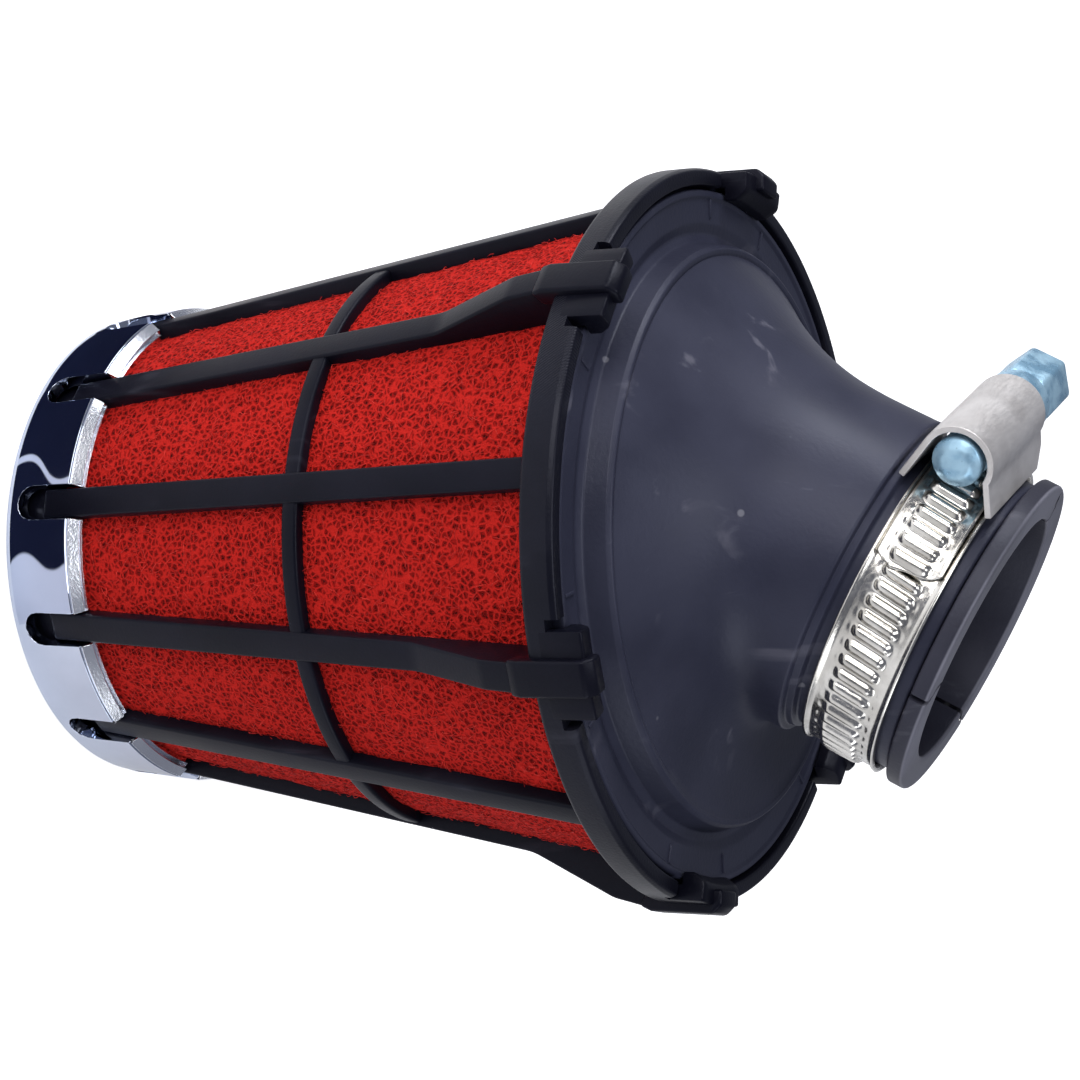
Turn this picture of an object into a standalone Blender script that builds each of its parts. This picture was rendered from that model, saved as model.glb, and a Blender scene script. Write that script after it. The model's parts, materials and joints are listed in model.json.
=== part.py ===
"""Cone air filter for a motorcycle carburettor: foam element in a ribbed cage, bent rubber neck, hose clamp.

Metres, +Z up. The filter stands on the flat end of its chrome cap, with the origin at the middle of that face.
The cage axis is Z. The neck leans towards +X, and its own axis crosses the cage axis at the neck pivot.
"""

import math

import bmesh
import bpy
from mathutils import Matrix, Vector

# Round steps, and the gap left between pieces that touch
round_steps = 48
corner_steps = 6
gap = 0.0003
merge_distance = 0.00001

# End cap
cap_depth = 0.0133
cap_base_step = 0.0017
cap_lip_proud = 0.00074525
cap_wall = 0.0013
cap_edge = 0.0020
slot_side_clearance = 0.0004
slot_end_clearance = 0.0031

# Cage: ribs
rib_count = 12
rib_turn = math.radians(2)
rib_width = 0.0040
rib_depth = 0.0034
rib_start = 0.0060
rib_small_radius = 0.0317
ring_step = 0.0028

# Cage: small ring inside the cap, middle hoop, large ring
small_ring_width = 0.0030
small_ring_wall = 0.0020
hoop_height = 0.0499
hoop_width = 0.0025
hoop_inset = 0.0003
hoop_wall = 0.0024
ring_height = 0.0895
ring_width = 0.0047
ring_radius = 0.0490
ring_wall = 0.0025
ring_web = 0.0015

# Cage: every other rib kicks outwards, runs over the ring and ends in a hook
kick_start = 0.0195
kick_end = 0.0070
kick_rise = 0.0026
hook_proud = 0.0011
hook_reach = 0.0042
hook_bar_chamfer = 0.0012
hook_width = 0.0122
hook_block_reach = 0.0034
hook_overhang = 0.0015
hook_corner = 0.0026

# Foam and the basket that holds it out
outer_foam_wall = 0.0060
inner_foam_wall = 0.0050
foam_disc_width = 0.0080
basket_wall = 0.0018
basket_rib_width = 0.0026
basket_rib_count = 6
basket_hoop_width = 0.0024
basket_hoop_count = 4

# Rubber neck
flange_thickness = 0.0022
moat_width = 0.0052
dome_shoulder = 0.0037
dome_step = 0.0031
boot_wall = 0.0026
neck_tilt = math.radians(29)
neck_pivot_rise = 0.0066
collar_step = 0.0019
collar_distance = 0.0110
collar_width = 0.0012
neck_wall = 0.00185
neck_length = 0.0270
trumpet_power = 3.0
trumpet_steps = 10

# Slotted reducing sleeve in the neck
sleeve_bore_radius = 0.01725
sleeve_wall = 0.0012
sleeve_flange_wall = 0.00475
sleeve_flange_thickness = 0.0024
sleeve_length = 0.0220
sleeve_slit = 0.0008
sleeve_slit_count = 3
sleeve_slit_turn = math.radians(30)
sleeve_uncut = 0.0040

# Hose clamp: places along the neck are measured from the neck pivot
clamp_gap = 0.0002
band_width = 0.0101
band_thickness = 0.0006
band_end_distance = 0.0018
tail_inset = 0.0006
tail_thickness = 0.0006
tail_start = math.radians(128)
tail_end = math.radians(236)
housing_turn = math.radians(184)
housing_length = 0.0200
housing_shift = 0.0010
housing_sheet = 0.0008
housing_lean = 0.0008
housing_side_clearance = 0.0003
worm_radius = 0.0033
worm_clearance = 0.0008
screw_dome = 0.0008
screw_collar_radius = 0.0044
screw_collar_length = 0.0030
hex_across_flats = 0.0080
hex_length = 0.0085
hex_chamfer = 0.0008

# Places that follow from the sizes above
cap_base_radius = rib_small_radius + cap_base_step
slot_width = rib_width + 2 * slot_side_clearance
slot_start = rib_start - slot_end_clearance
rib_slope = (ring_radius - ring_step - rib_small_radius) / ring_height
cap_lip_radius = rib_small_radius + rib_slope * cap_depth + cap_lip_proud
foam_inset = rib_depth + gap
foam_bottom = cap_wall + gap
foam_top = ring_height + ring_web
flange_bottom = foam_top + gap
flange_top = flange_bottom + flange_thickness
flange_radius = ring_radius - ring_wall - gap
dome_radius = flange_radius - moat_width - dome_shoulder
dome_height = flange_top + dome_step
neck_pivot = Vector((0, 0, dome_height + neck_pivot_rise))
neck_bore_radius = sleeve_bore_radius + sleeve_wall + gap
neck_radius = neck_bore_radius + neck_wall
collar_radius = neck_radius + collar_step
band_radius = neck_radius + clamp_gap + band_thickness
band_end = neck_length - band_end_distance
band_middle = band_end - band_width / 2
tail_radius = band_radius + clamp_gap + tail_thickness
worm_axis_radius = tail_radius + clamp_gap + worm_radius


def rib_radius(height):
    """Outer radius of the straight ribs at a height."""
    return rib_small_radius + rib_slope * height


def cap_radius(height):
    """Outer radius of the cap's side at a height."""
    return cap_base_radius + (cap_lip_radius - cap_base_radius) * height / cap_depth


def clear_scene():
    for item in list(bpy.data.objects):
        bpy.data.objects.remove(item, do_unlink=True)


def new_collection(name):
    group = bpy.data.collections.new(name)
    bpy.context.scene.collection.children.link(group)
    return group


def new_material(name, colour, roughness, metallic):
    finish = bpy.data.materials.new(name)
    finish.use_nodes = True
    shader = finish.node_tree.nodes["Principled BSDF"]
    shader.inputs["Base Color"].default_value = (*colour, 1)
    shader.inputs["Roughness"].default_value = roughness
    shader.inputs["Metallic"].default_value = metallic
    finish.diffuse_color = (*colour, 1)
    return finish


def place(name, mesh, group, finish=None):
    """A new object for a mesh, as a part with a finish or as a hidden cutter without one."""
    item = bpy.data.objects.new(name, mesh)
    group.objects.link(item)
    if finish is None:
        item.hide_render = True
        item.display_type = "WIRE"
    else:
        mesh.materials.append(finish)
    return item


def smooth_rounds(item):
    item.data.shade_smooth()
    item.data.set_sharp_from_angle(angle=math.radians(35))


def turned(name, loops, group, finish=None, steps=round_steps):
    """A piece turned about Z from closed profile loops of (radius, height), each down its outer side first."""
    mesh = bpy.data.meshes.new(name)
    bm = bmesh.new()
    for loop in loops:
        corners = [bm.verts.new((radius, 0, height)) for radius, height in loop]
        for first, second in zip(corners, corners[1:] + corners[:1]):
            bm.edges.new((first, second))
    bm.to_mesh(mesh)
    bm.free()
    item = place(name, mesh, group, finish)
    turn = item.modifiers.new("turn", "SCREW")
    turn.axis = "Z"
    turn.angle = 2 * math.pi
    turn.steps = steps
    turn.render_steps = steps
    turn.use_merge_vertices = True
    turn.merge_threshold = merge_distance
    return item


def outline_mesh(name, points, thickness):
    """A flat closed outline in XY, extruded to a thickness about its own plane."""
    curve = bpy.data.curves.new(name, "CURVE")
    curve.dimensions = "2D"
    curve.fill_mode = "BOTH"
    curve.extrude = thickness / 2
    spline = curve.splines.new("POLY")
    spline.points.add(len(points) - 1)
    for point, (x, y) in zip(spline.points, points):
        point.co = (x, y, 0, 1)
    spline.use_cyclic_u = True
    holder = bpy.data.objects.new(name, curve)
    bpy.context.scene.collection.objects.link(holder)
    graph = bpy.context.evaluated_depsgraph_get()
    mesh = bpy.data.meshes.new_from_object(holder.evaluated_get(graph))
    bpy.data.objects.remove(holder, do_unlink=True)
    bpy.data.curves.remove(curve)
    bm = bmesh.new()
    bm.from_mesh(mesh)
    bmesh.ops.remove_doubles(bm, verts=bm.verts, dist=merge_distance)
    bmesh.ops.recalc_face_normals(bm, faces=bm.faces)
    bm.to_mesh(mesh)
    bm.free()
    mesh.name = name
    return mesh


def copies(name, mesh, places):
    """One mesh that holds a copy of another at each place."""
    joined = bmesh.new()
    for matrix in places:
        one = mesh.copy()
        one.transform(matrix)
        joined.from_mesh(one)
        bpy.data.meshes.remove(one)
    result = bpy.data.meshes.new(name)
    joined.to_mesh(result)
    joined.free()
    bpy.data.meshes.remove(mesh)
    return result


def arc(centre, radius, start, end, steps):
    """Points along an arc, angles in degrees."""
    angles = [math.radians(start + (end - start) * step / steps) for step in range(steps + 1)]
    return [(centre[0] + radius * math.cos(a), centre[1] + radius * math.sin(a)) for a in angles]


def boolean(item, other, operation):
    cut = item.modifiers.new(other.name, "BOOLEAN")
    cut.operation = operation
    cut.solver = "EXACT"
    cut.object = other
    return cut


# An outline drawn as (radius, height) stands in the plane of a rib after this turn.
stand_up = Matrix.Rotation(math.radians(90), 4, "X")


def rib_angles(first, step):
    return [rib_turn + 2 * math.pi * k / rib_count for k in range(first, rib_count, step)]


def around(angles):
    """Places for pieces whose radial direction is +X."""
    return [Matrix.Rotation(angle, 4, "Z") for angle in angles]


def facing(radius, angles):
    """Places for outlines drawn as (sideways, height), with their thickness about a radius."""
    outwards = Matrix.Rotation(math.radians(90), 4, "Z") @ Matrix.Translation((0, -radius, 0)) @ stand_up
    return [Matrix.Rotation(angle, 4, "Z") @ outwards for angle in angles]


def build_cap(parts, cutters, chrome):
    inner_lip = cap_lip_radius - cap_wall
    inner_base = cap_base_radius - cap_wall
    profile = [(cap_lip_radius, cap_depth), (cap_radius(cap_edge), cap_edge)]
    profile += arc((cap_base_radius - cap_edge, cap_edge), cap_edge, -15, -90, corner_steps)
    profile += [(0, 0), (0, cap_wall), (inner_base, cap_wall), (inner_lip, cap_depth)]
    cap = turned("end_cap", [profile], parts, chrome)
    half = slot_width / 2
    slot = arc((0, slot_start + half), half, 180, 360, 2 * corner_steps)
    slot += [(half, cap_depth + cap_wall), (-half, cap_depth + cap_wall)]
    depth = 3 * cap_wall
    mesh = outline_mesh("slot", slot, depth)
    angles = rib_angles(0, 1)
    slots = place("cap_slots", copies("cap_slots", mesh, facing(cap_lip_radius - cap_wall, angles)), cutters)
    boolean(cap, slots, "DIFFERENCE")
    return cap


def build_cage(parts, cutters, plastic):
    ring_top = ring_height + ring_width
    seat_radius = rib_radius(ring_height) - rib_depth + gap
    large_ring = [
        (ring_radius, ring_top),
        (ring_radius, ring_height),
        (seat_radius, ring_height),
        (seat_radius, foam_top),
        (ring_radius - ring_wall, foam_top),
        (ring_radius - ring_wall, ring_top),
    ]
    hoop_outer = rib_radius(hoop_height) - hoop_inset
    hoop = [
        (hoop_outer, hoop_height + hoop_width),
        (hoop_outer, hoop_height),
        (hoop_outer - hoop_wall, hoop_height),
        (hoop_outer - hoop_wall, hoop_height + hoop_width),
    ]
    small_outer = cap_radius(rib_start) - cap_wall - 2 * gap
    small_top = rib_start + small_ring_width
    small_ring = [
        (small_outer, small_top),
        (small_outer, rib_start),
        (small_outer - small_ring_wall, rib_start),
        (small_outer - small_ring_wall, small_top),
    ]
    cage = turned("cage", [large_ring, hoop, small_ring], parts, plastic)

    # Straight ribs end inside the web of the large ring.
    rib_end = ring_height + ring_web / 2
    straight = [
        (rib_radius(rib_start) - rib_depth, rib_start),
        (rib_radius(rib_start), rib_start),
        (rib_radius(rib_end), rib_end),
        (rib_radius(rib_end) - rib_depth, rib_end),
    ]
    ribs = outline_mesh("straight_rib", straight, rib_width)
    places = [turn @ stand_up for turn in around(rib_angles(0, 2))]
    straight_ribs = place("straight_ribs", copies("straight_ribs", ribs, places), cutters)
    boolean(cage, straight_ribs, "UNION")

    # Hooked ribs kick outwards, pass over the ring and stand in front of it.
    kick_low = ring_height - kick_start
    kick_high = ring_height - kick_end
    bar_radius = ring_radius + hook_proud
    bar_top = ring_top + hook_reach
    kicked = rib_radius(kick_high) + kick_rise + hook_proud
    hooked = [
        (rib_radius(rib_start) - rib_depth, rib_start),
        (rib_radius(rib_start), rib_start),
        (rib_radius(kick_low), kick_low),
        (kicked, kick_high),
        (bar_radius, ring_height - kick_end / 3),
        (bar_radius, bar_top - hook_bar_chamfer),
        (bar_radius - hook_bar_chamfer, bar_top),
        (ring_radius - ring_wall / 2, bar_top),
        (ring_radius - ring_wall / 2, ring_height + ring_web / 2),
        (kicked - rib_depth, ring_height + ring_web / 2),
        (kicked - rib_depth, kick_high),
        (rib_radius(kick_low) - rib_depth, kick_low),
    ]
    ribs = outline_mesh("hooked_rib", hooked, rib_width)
    places = [turn @ stand_up for turn in around(rib_angles(1, 2))]
    hooked_ribs = place("hooked_ribs", copies("hooked_ribs", ribs, places), cutters)
    boolean(cage, hooked_ribs, "UNION")

    half = hook_width / 2
    block_bottom = flange_top + 2 * gap
    block_top = ring_top + hook_block_reach
    block = [(-half, block_bottom), (half, block_bottom)]
    block += arc((half - hook_corner, block_top - hook_corner), hook_corner, 0, 90, corner_steps)
    block += arc((hook_corner - half, block_top - hook_corner), hook_corner, 90, 180, corner_steps)
    inner = ring_radius - ring_wall - hook_overhang
    outer = ring_radius - gap
    mesh = outline_mesh("hook_block", block, outer - inner)
    blocks = copies("hook_blocks", mesh, facing((outer + inner) / 2, rib_angles(1, 2)))
    boolean(cage, place("hook_blocks", blocks, cutters), "UNION")
    return cage


def foam_sleeve(name, parts, finish, outer_inset, wall, bottom):
    """A conical foam wall that lies inside the ribs by an inset."""
    profile = [
        (rib_radius(foam_top) - outer_inset, foam_top),
        (rib_radius(bottom) - outer_inset, bottom),
        (rib_radius(bottom) - outer_inset - wall, bottom),
        (rib_radius(foam_top) - outer_inset - wall, foam_top),
    ]
    return turned(name, [profile], parts, finish)


def build_foam(parts, coarse, fine):
    foam_sleeve("foam_outer", parts, coarse, foam_inset, outer_foam_wall, foam_bottom)
    disc_top = foam_bottom + foam_disc_width
    disc_radius = rib_radius(foam_bottom) - foam_inset - outer_foam_wall - gap
    disc = [(0, disc_top), (disc_radius, disc_top), (disc_radius, foam_bottom), (0, foam_bottom)]
    turned("foam_end_disc", [disc], parts, coarse)
    inset = foam_inset + outer_foam_wall + gap
    foam_sleeve("foam_inner", parts, fine, inset, inner_foam_wall, disc_top + gap)


def build_basket(parts, cutters, plastic):
    inset = foam_inset + outer_foam_wall + inner_foam_wall + 2 * gap
    bottom = foam_bottom + foam_disc_width + gap
    top = foam_top
    step = (top - bottom - basket_hoop_width) / (basket_hoop_count - 1)
    loops = []
    for number in range(basket_hoop_count):
        low = bottom + number * step
        high = low + basket_hoop_width
        outer_low = rib_radius(low) - inset
        outer_high = rib_radius(high) - inset
        loops.append(
            [
                (outer_high, high),
                (outer_low, low),
                (outer_low - basket_wall, low),
                (outer_high - basket_wall, high),
            ]
        )
    basket = turned("support_basket", loops, parts, plastic)
    edge = basket_hoop_width / 3
    low = bottom + edge
    high = top - edge
    side = basket_wall / 6
    rib = [
        (rib_radius(low) - inset - basket_wall + side, low),
        (rib_radius(low) - inset - side, low),
        (rib_radius(high) - inset - side, high),
        (rib_radius(high) - inset - basket_wall + side, high),
    ]
    mesh = outline_mesh("basket_rib", rib, basket_rib_width)
    angles = [2 * math.pi * (k + 0.5) / basket_rib_count for k in range(basket_rib_count)]
    places = [turn @ stand_up for turn in around(angles)]
    boolean(basket, place("basket_ribs", copies("basket_ribs", mesh, places), cutters), "UNION")


def neck_section(distance, radius):
    """Place and radius of a circle across the neck, at a distance from the neck pivot."""
    turn = Matrix.Rotation(neck_tilt, 4, "Y")
    centre = neck_pivot + turn @ Vector((0, 0, distance))
    return Matrix.Translation(centre) @ turn, radius


def trumpet_section(share, inwards=0.0, sink=0.0):
    """Circle of the trumpet between the dome's edge (share 0) and the neck's collar (share 1)."""
    start = Vector((0, 0, dome_height))
    turn_end = Matrix.Rotation(neck_tilt, 4, "Y")
    end = neck_pivot + turn_end @ Vector((0, 0, collar_distance))
    pull = (end - start).length
    lead_out = Vector((0, 0, pull))
    lead_in = turn_end @ Vector((0, 0, pull))
    square = share * share
    cube = square * share
    centre = (2 * cube - 3 * square + 1) * start + (cube - 2 * square + share) * lead_out
    centre += (3 * square - 2 * cube) * end + (cube - square) * lead_in
    turn = Matrix.Rotation(neck_tilt * share, 4, "Y")
    radius = collar_radius + (dome_radius - collar_radius) * (1 - share) ** trumpet_power
    return Matrix.Translation(centre) @ turn @ Matrix.Translation((0, 0, -sink)), radius - inwards


def build_boot(parts, rubber):
    def level(radius, height):
        return Matrix.Translation((0, 0, height)), radius

    edge = flange_thickness / 4
    moat_radius = flange_radius - moat_width
    sections = [
        level(flange_radius, flange_bottom),
        level(flange_radius, flange_top - edge),
        level(flange_radius - edge, flange_top),
        level(moat_radius, flange_top),
        level(dome_radius + dome_step * 0.6, flange_top + dome_step * 0.15),
        level(dome_radius + dome_step * 0.2, flange_top + dome_step * 0.6),
    ]
    sections += [trumpet_section(step / trumpet_steps) for step in range(trumpet_steps + 1)]
    collar_end = collar_distance + collar_width
    sections += [
        neck_section(collar_end, collar_radius),
        neck_section(collar_end + collar_width / 3, neck_radius),
        neck_section(neck_length, neck_radius),
        neck_section(neck_length, neck_bore_radius),
    ]
    inwards = collar_radius - neck_bore_radius
    sink = boot_wall / 2
    inner_steps = trumpet_steps // 2
    for step in range(inner_steps, -1, -1):
        share = step / inner_steps
        wall = boot_wall + (inwards - boot_wall) * share
        sections.append(trumpet_section(share, wall, sink))
    sections.append(level(dome_radius - boot_wall, flange_bottom))

    bm = bmesh.new()
    rings = []
    for matrix, radius in sections:
        made = bmesh.ops.create_circle(bm, segments=round_steps, radius=radius, matrix=matrix)
        rings.append(made["verts"])
    for first, second in zip(rings, rings[1:] + rings[:1]):
        for k in range(round_steps):
            after = (k + 1) % round_steps
            bm.faces.new((first[k], first[after], second[after], second[k]))
    bmesh.ops.recalc_face_normals(bm, faces=bm.faces)
    mesh = bpy.data.meshes.new("neck_boot")
    bm.to_mesh(mesh)
    bm.free()
    smooth_rounds(place("neck_boot", mesh, parts, rubber))


def build_sleeve(parts, cutters, neck_axis, rubber):
    flange_low = neck_length + gap
    flange_high = flange_low + sleeve_flange_thickness
    flange_outer = sleeve_bore_radius + sleeve_flange_wall
    body_outer = sleeve_bore_radius + sleeve_wall
    low = flange_low - sleeve_length
    profile = [
        (flange_outer, flange_high),
        (flange_outer, flange_low),
        (body_outer, flange_low),
        (body_outer, low),
        (sleeve_bore_radius, low),
        (sleeve_bore_radius, flange_high),
    ]
    sleeve = turned("reducing_sleeve", [profile], parts, rubber)
    sleeve.parent = neck_axis
    cut_low = low + sleeve_uncut
    cut_high = flange_high + sleeve_flange_thickness
    bm = bmesh.new()
    for number in range(sleeve_slit_count):
        turn = Matrix.Rotation(sleeve_slit_turn + 2 * math.pi * number / sleeve_slit_count, 4, "Z")
        middle = Matrix.Translation((sleeve_bore_radius + sleeve_flange_wall / 2, 0, (cut_low + cut_high) / 2))
        size = (2 * sleeve_flange_wall, sleeve_slit, cut_high - cut_low, 1)
        bmesh.ops.create_cube(bm, size=1, matrix=turn @ middle @ Matrix.Diagonal(size))
    mesh = bpy.data.meshes.new("sleeve_slits")
    bm.to_mesh(mesh)
    bm.free()
    slits = place("sleeve_slits", mesh, cutters)
    slits.parent = neck_axis
    boolean(sleeve, slits, "DIFFERENCE")


def build_clamp(parts, cutters, neck_axis, steel, zinc):
    low = band_middle - band_width / 2
    high = band_middle + band_width / 2
    inner = band_radius - band_thickness
    band_loop = [(band_radius, high), (band_radius, low), (inner, low), (inner, high)]
    band = turned("clamp_band", [band_loop], parts, steel)
    band.parent = neck_axis

    # The free end of the band lies on the loop and runs under the screw.
    start = math.degrees(tail_start)
    end = math.degrees(tail_end)
    tail_steps = round((end - start) / 360 * round_steps)
    outline = arc((0, 0), tail_radius, start, end, tail_steps)
    outline += arc((0, 0), tail_radius - tail_thickness, end, start, tail_steps)
    tail_mesh = outline_mesh("clamp_band_tail", outline, band_width - 2 * tail_inset)
    tail = place("clamp_band_tail", tail_mesh, parts, steel)
    tail.parent = neck_axis
    tail.location = (0, 0, band_middle)
    smooth_rounds(tail)

    # The housing and the screw stand on an empty that is turned about the neck to their side of it.
    clamp_side = bpy.data.objects.new("clamp_side", None)
    parts.objects.link(clamp_side)
    clamp_side.parent = neck_axis
    clamp_side.location = (0, 0, band_middle)
    clamp_side.rotation_euler = (0, 0, housing_turn)

    # The housing is an arch over the worm, drawn as (along the neck, outwards). Its feet straddle the band.
    arch_inner = worm_radius + worm_clearance
    arch_outer = arch_inner + housing_sheet
    foot_inner = band_width / 2 + housing_side_clearance
    foot_outer = foot_inner + housing_sheet
    far_inner = foot_inner + housing_lean
    far_outer = foot_outer + housing_lean
    foot_level = neck_radius + gap
    centre = (-housing_lean, worm_axis_radius)
    arch = [(foot_outer, foot_level)]
    arch += arc(centre, arch_outer, 0, 180, 2 * corner_steps)
    arch += [(-far_outer, foot_level), (-far_inner, foot_level)]
    arch += arc(centre, arch_inner, 180, 0, 2 * corner_steps)
    arch.append((foot_inner, foot_level))
    housing_mesh = outline_mesh("clamp_housing", arch, housing_length)
    # Outline x runs along the neck, outline y away from it, and the thickness along the band.
    columns = (Vector((0, 0, 1)), Vector((1, 0, 0)), Vector((0, 1, 0)))
    turn = Matrix([[column[row] for column in columns] for row in range(3)]).to_4x4()
    housing_mesh.transform(turn)
    housing = place("clamp_housing", housing_mesh, parts, steel)
    housing.parent = clamp_side
    housing.location = (0, -housing_shift, 0)
    smooth_rounds(housing)

    # The screw is turned about its own Z, which points towards its tip.
    tip = housing_length / 2 - housing_shift
    back = -housing_length / 2 - housing_shift - gap
    collar_back = back - screw_collar_length
    profile = [
        (0, tip + screw_dome),
        (worm_radius / 2, tip + screw_dome * 0.8),
        (worm_radius * 0.85, tip + screw_dome * 0.3),
        (worm_radius, tip - screw_dome),
        (worm_radius, back),
        (screw_collar_radius, back),
        (screw_collar_radius, collar_back),
        (0, collar_back),
    ]
    screw = turned("clamp_screw", [profile], parts, zinc, round_steps // 2)
    screw.parent = clamp_side
    screw.location = (worm_axis_radius, 0, -housing_lean)
    screw.rotation_euler = (math.radians(-90), 0, 0)
    hex_radius = hex_across_flats / math.sqrt(3)
    bm = bmesh.new()
    head_low = collar_back - hex_length
    head_high = collar_back + screw_collar_length / 2
    middle = Matrix.Translation((0, 0, (head_low + hex_chamfer + head_high) / 2))
    size = head_high - head_low - hex_chamfer
    made = bmesh.ops.create_cone(
        bm, cap_ends=True, segments=6, radius1=hex_radius, radius2=hex_radius, depth=size, matrix=middle
    )
    lowest = min(vert.co.z for vert in made["verts"])
    end_face = [face for face in bm.faces if all(vert.co.z < lowest + gap for vert in face.verts)]
    grown = bmesh.ops.extrude_discrete_faces(bm, faces=end_face)["faces"]
    for vert in grown[0].verts:
        vert.co.z -= hex_chamfer
        vert.co.x *= 1 - hex_chamfer / hex_radius
        vert.co.y *= 1 - hex_chamfer / hex_radius
    bmesh.ops.recalc_face_normals(bm, faces=bm.faces)
    mesh = bpy.data.meshes.new("screw_hex")
    bm.to_mesh(mesh)
    bm.free()
    head = place("screw_hex", mesh, cutters)
    head.parent = clamp_side
    head.location = screw.location
    head.rotation_euler = screw.rotation_euler
    boolean(screw, head, "UNION")


def main():
    clear_scene()
    parts = new_collection("air_filter")
    cutters = new_collection("cutters")
    chrome = new_material("chrome", (0.62, 0.64, 0.70), 0.08, 1.0)
    plastic = new_material("black_plastic", (0.030, 0.031, 0.042), 0.45, 0.0)
    rubber = new_material("black_rubber", (0.040, 0.042, 0.058), 0.50, 0.0)
    coarse = new_material("red_foam", (0.55, 0.015, 0.010), 0.95, 0.0)
    fine = new_material("grey_foam", (0.10, 0.10, 0.11), 0.95, 0.0)
    steel = new_material("nickel_steel", (0.56, 0.54, 0.50), 0.25, 1.0)
    zinc = new_material("blue_zinc", (0.40, 0.62, 0.76), 0.30, 0.9)

    neck_axis = bpy.data.objects.new("neck_axis", None)
    neck_axis.location = neck_pivot
    neck_axis.rotation_euler = (0, neck_tilt, 0)
    parts.objects.link(neck_axis)

    build_cap(parts, cutters, chrome)
    build_cage(parts, cutters, plastic)
    build_foam(parts, coarse, fine)
    build_basket(parts, cutters, plastic)
    build_boot(parts, rubber)
    build_sleeve(parts, cutters, neck_axis, rubber)
    build_clamp(parts, cutters, neck_axis, steel, zinc)


main()
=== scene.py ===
import json
import math
import random

import bmesh
import bpy
from mathutils import Matrix, Vector, noise


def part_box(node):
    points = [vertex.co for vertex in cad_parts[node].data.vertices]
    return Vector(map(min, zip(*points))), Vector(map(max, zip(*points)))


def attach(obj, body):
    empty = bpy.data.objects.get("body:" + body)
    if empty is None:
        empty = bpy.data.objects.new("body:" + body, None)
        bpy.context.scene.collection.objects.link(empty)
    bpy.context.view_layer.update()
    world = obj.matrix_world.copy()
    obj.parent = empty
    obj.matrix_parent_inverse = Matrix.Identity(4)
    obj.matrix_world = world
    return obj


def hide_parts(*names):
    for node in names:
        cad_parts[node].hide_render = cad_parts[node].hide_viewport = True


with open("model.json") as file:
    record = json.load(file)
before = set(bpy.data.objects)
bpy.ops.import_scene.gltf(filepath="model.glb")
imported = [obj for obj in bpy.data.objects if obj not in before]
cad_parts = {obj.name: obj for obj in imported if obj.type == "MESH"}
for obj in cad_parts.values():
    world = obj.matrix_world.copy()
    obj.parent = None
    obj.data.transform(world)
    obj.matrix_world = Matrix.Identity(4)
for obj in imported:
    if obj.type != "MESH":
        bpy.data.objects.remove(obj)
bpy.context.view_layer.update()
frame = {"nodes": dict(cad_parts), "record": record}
random.seed(11)

# Everything below is modelled in millimetres and brought to metres when a piece is finished
toMetres = 0.001
jointInfo = {joint["name"]: joint for joint in frame["record"]["behaviour"]["joints"]}


def cadSpan(node):
    low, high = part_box(node)
    return Vector(low) / toMetres, Vector(high) / toMetres


# ---- layout shared by the pieces
layout = {
    "ribCount": 12,
    "ribTurn": math.radians(2),
    "ribSmall": 31.7,  # outer radius of the ribs at z = 0
    "ribSlope": 0.1620,
    "ringLow": 89.5,
    "ringRadius": 49.0,
    "flangeTop": 93.5,
}
swivel = jointInfo["clamp_swivel"]
neckPivot = Vector(swivel["pos_m"]) / toMetres
neckAxis = Vector(swivel["axis"]).normalized()
neckTilt = math.atan2(neckAxis.x, neckAxis.z)
neckFrame = Matrix.Translation(neckPivot) @ Matrix.Rotation(neckTilt, 4, "Y")
screwPlace = neckFrame.inverted() @ (Vector(jointInfo["screw_turn"]["pos_m"]) / toMetres)
clampTurn = math.atan2(screwPlace.y, screwPlace.x)
clampFrame = neckFrame @ Matrix.Rotation(clampTurn, 4, "Z") @ Matrix.Translation((0, 0, screwPlace.z))
screwAxisRadius = math.hypot(screwPlace.x, screwPlace.y)


def ribRadius(height):
    return layout["ribSmall"] + layout["ribSlope"] * height


def ribAngles(first):
    # every other rib: the straight ones from 0, the hooked ones from 1
    count = layout["ribCount"]
    return [layout["ribTurn"] + 2 * math.pi * k / count for k in range(first, count, 2)]


# ---- small tools for meshes
def filletPath(corners, steps=4, closed=True):
    # corners are (x, y, fillet radius); each is replaced by an arc where the radius isn't 0
    points = []
    count = len(corners)
    for k, (x, y, radius) in enumerate(corners):
        here = Vector((x, y))
        if radius <= 0 or (not closed and k in (0, count - 1)):
            points.append(here)
            continue
        before = (Vector(corners[k - 1][:2]) - here).normalized()
        after = (Vector(corners[(k + 1) % count][:2]) - here).normalized()
        half = before.angle(after) / 2
        if half > math.pi / 2 - 0.02:
            points.append(here)
            continue
        centre = here + (before + after).normalized() * radius / math.sin(half)
        start = here + before * radius / math.tan(half) - centre
        end = here + after * radius / math.tan(half) - centre
        sweep = start.angle_signed(end)
        for step in range(steps + 1):
            turned = start.copy()
            turned.rotate(Matrix.Rotation(-sweep * step / steps, 2))
            points.append(centre + turned)
    return points


def spinPath(points, steps, closed=True, start=0.0, angle=2 * math.pi):
    # turns a path of (radius, height) about Z; a part turn gets its two ends closed
    bm = bmesh.new()
    corners = [bm.verts.new((x, 0, y)) for x, y in points]
    edges = [bm.edges.new(pair) for pair in zip(corners, corners[1:])]
    if closed:
        edges.append(bm.edges.new((corners[-1], corners[0])))
    bmesh.ops.rotate(bm, verts=corners, cent=(0, 0, 0), matrix=Matrix.Rotation(start, 3, "Z"))
    whole = angle > 2 * math.pi - 0.001
    made = bmesh.ops.spin(
        bm, geom=corners + edges, cent=(0, 0, 0), axis=(0, 0, 1), angle=angle, steps=steps, use_merge=whole
    )
    if closed and not whole:
        closeEnds(bm, edges, made)
    bmesh.ops.remove_doubles(bm, verts=bm.verts, dist=0.0005)
    return bm


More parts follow.
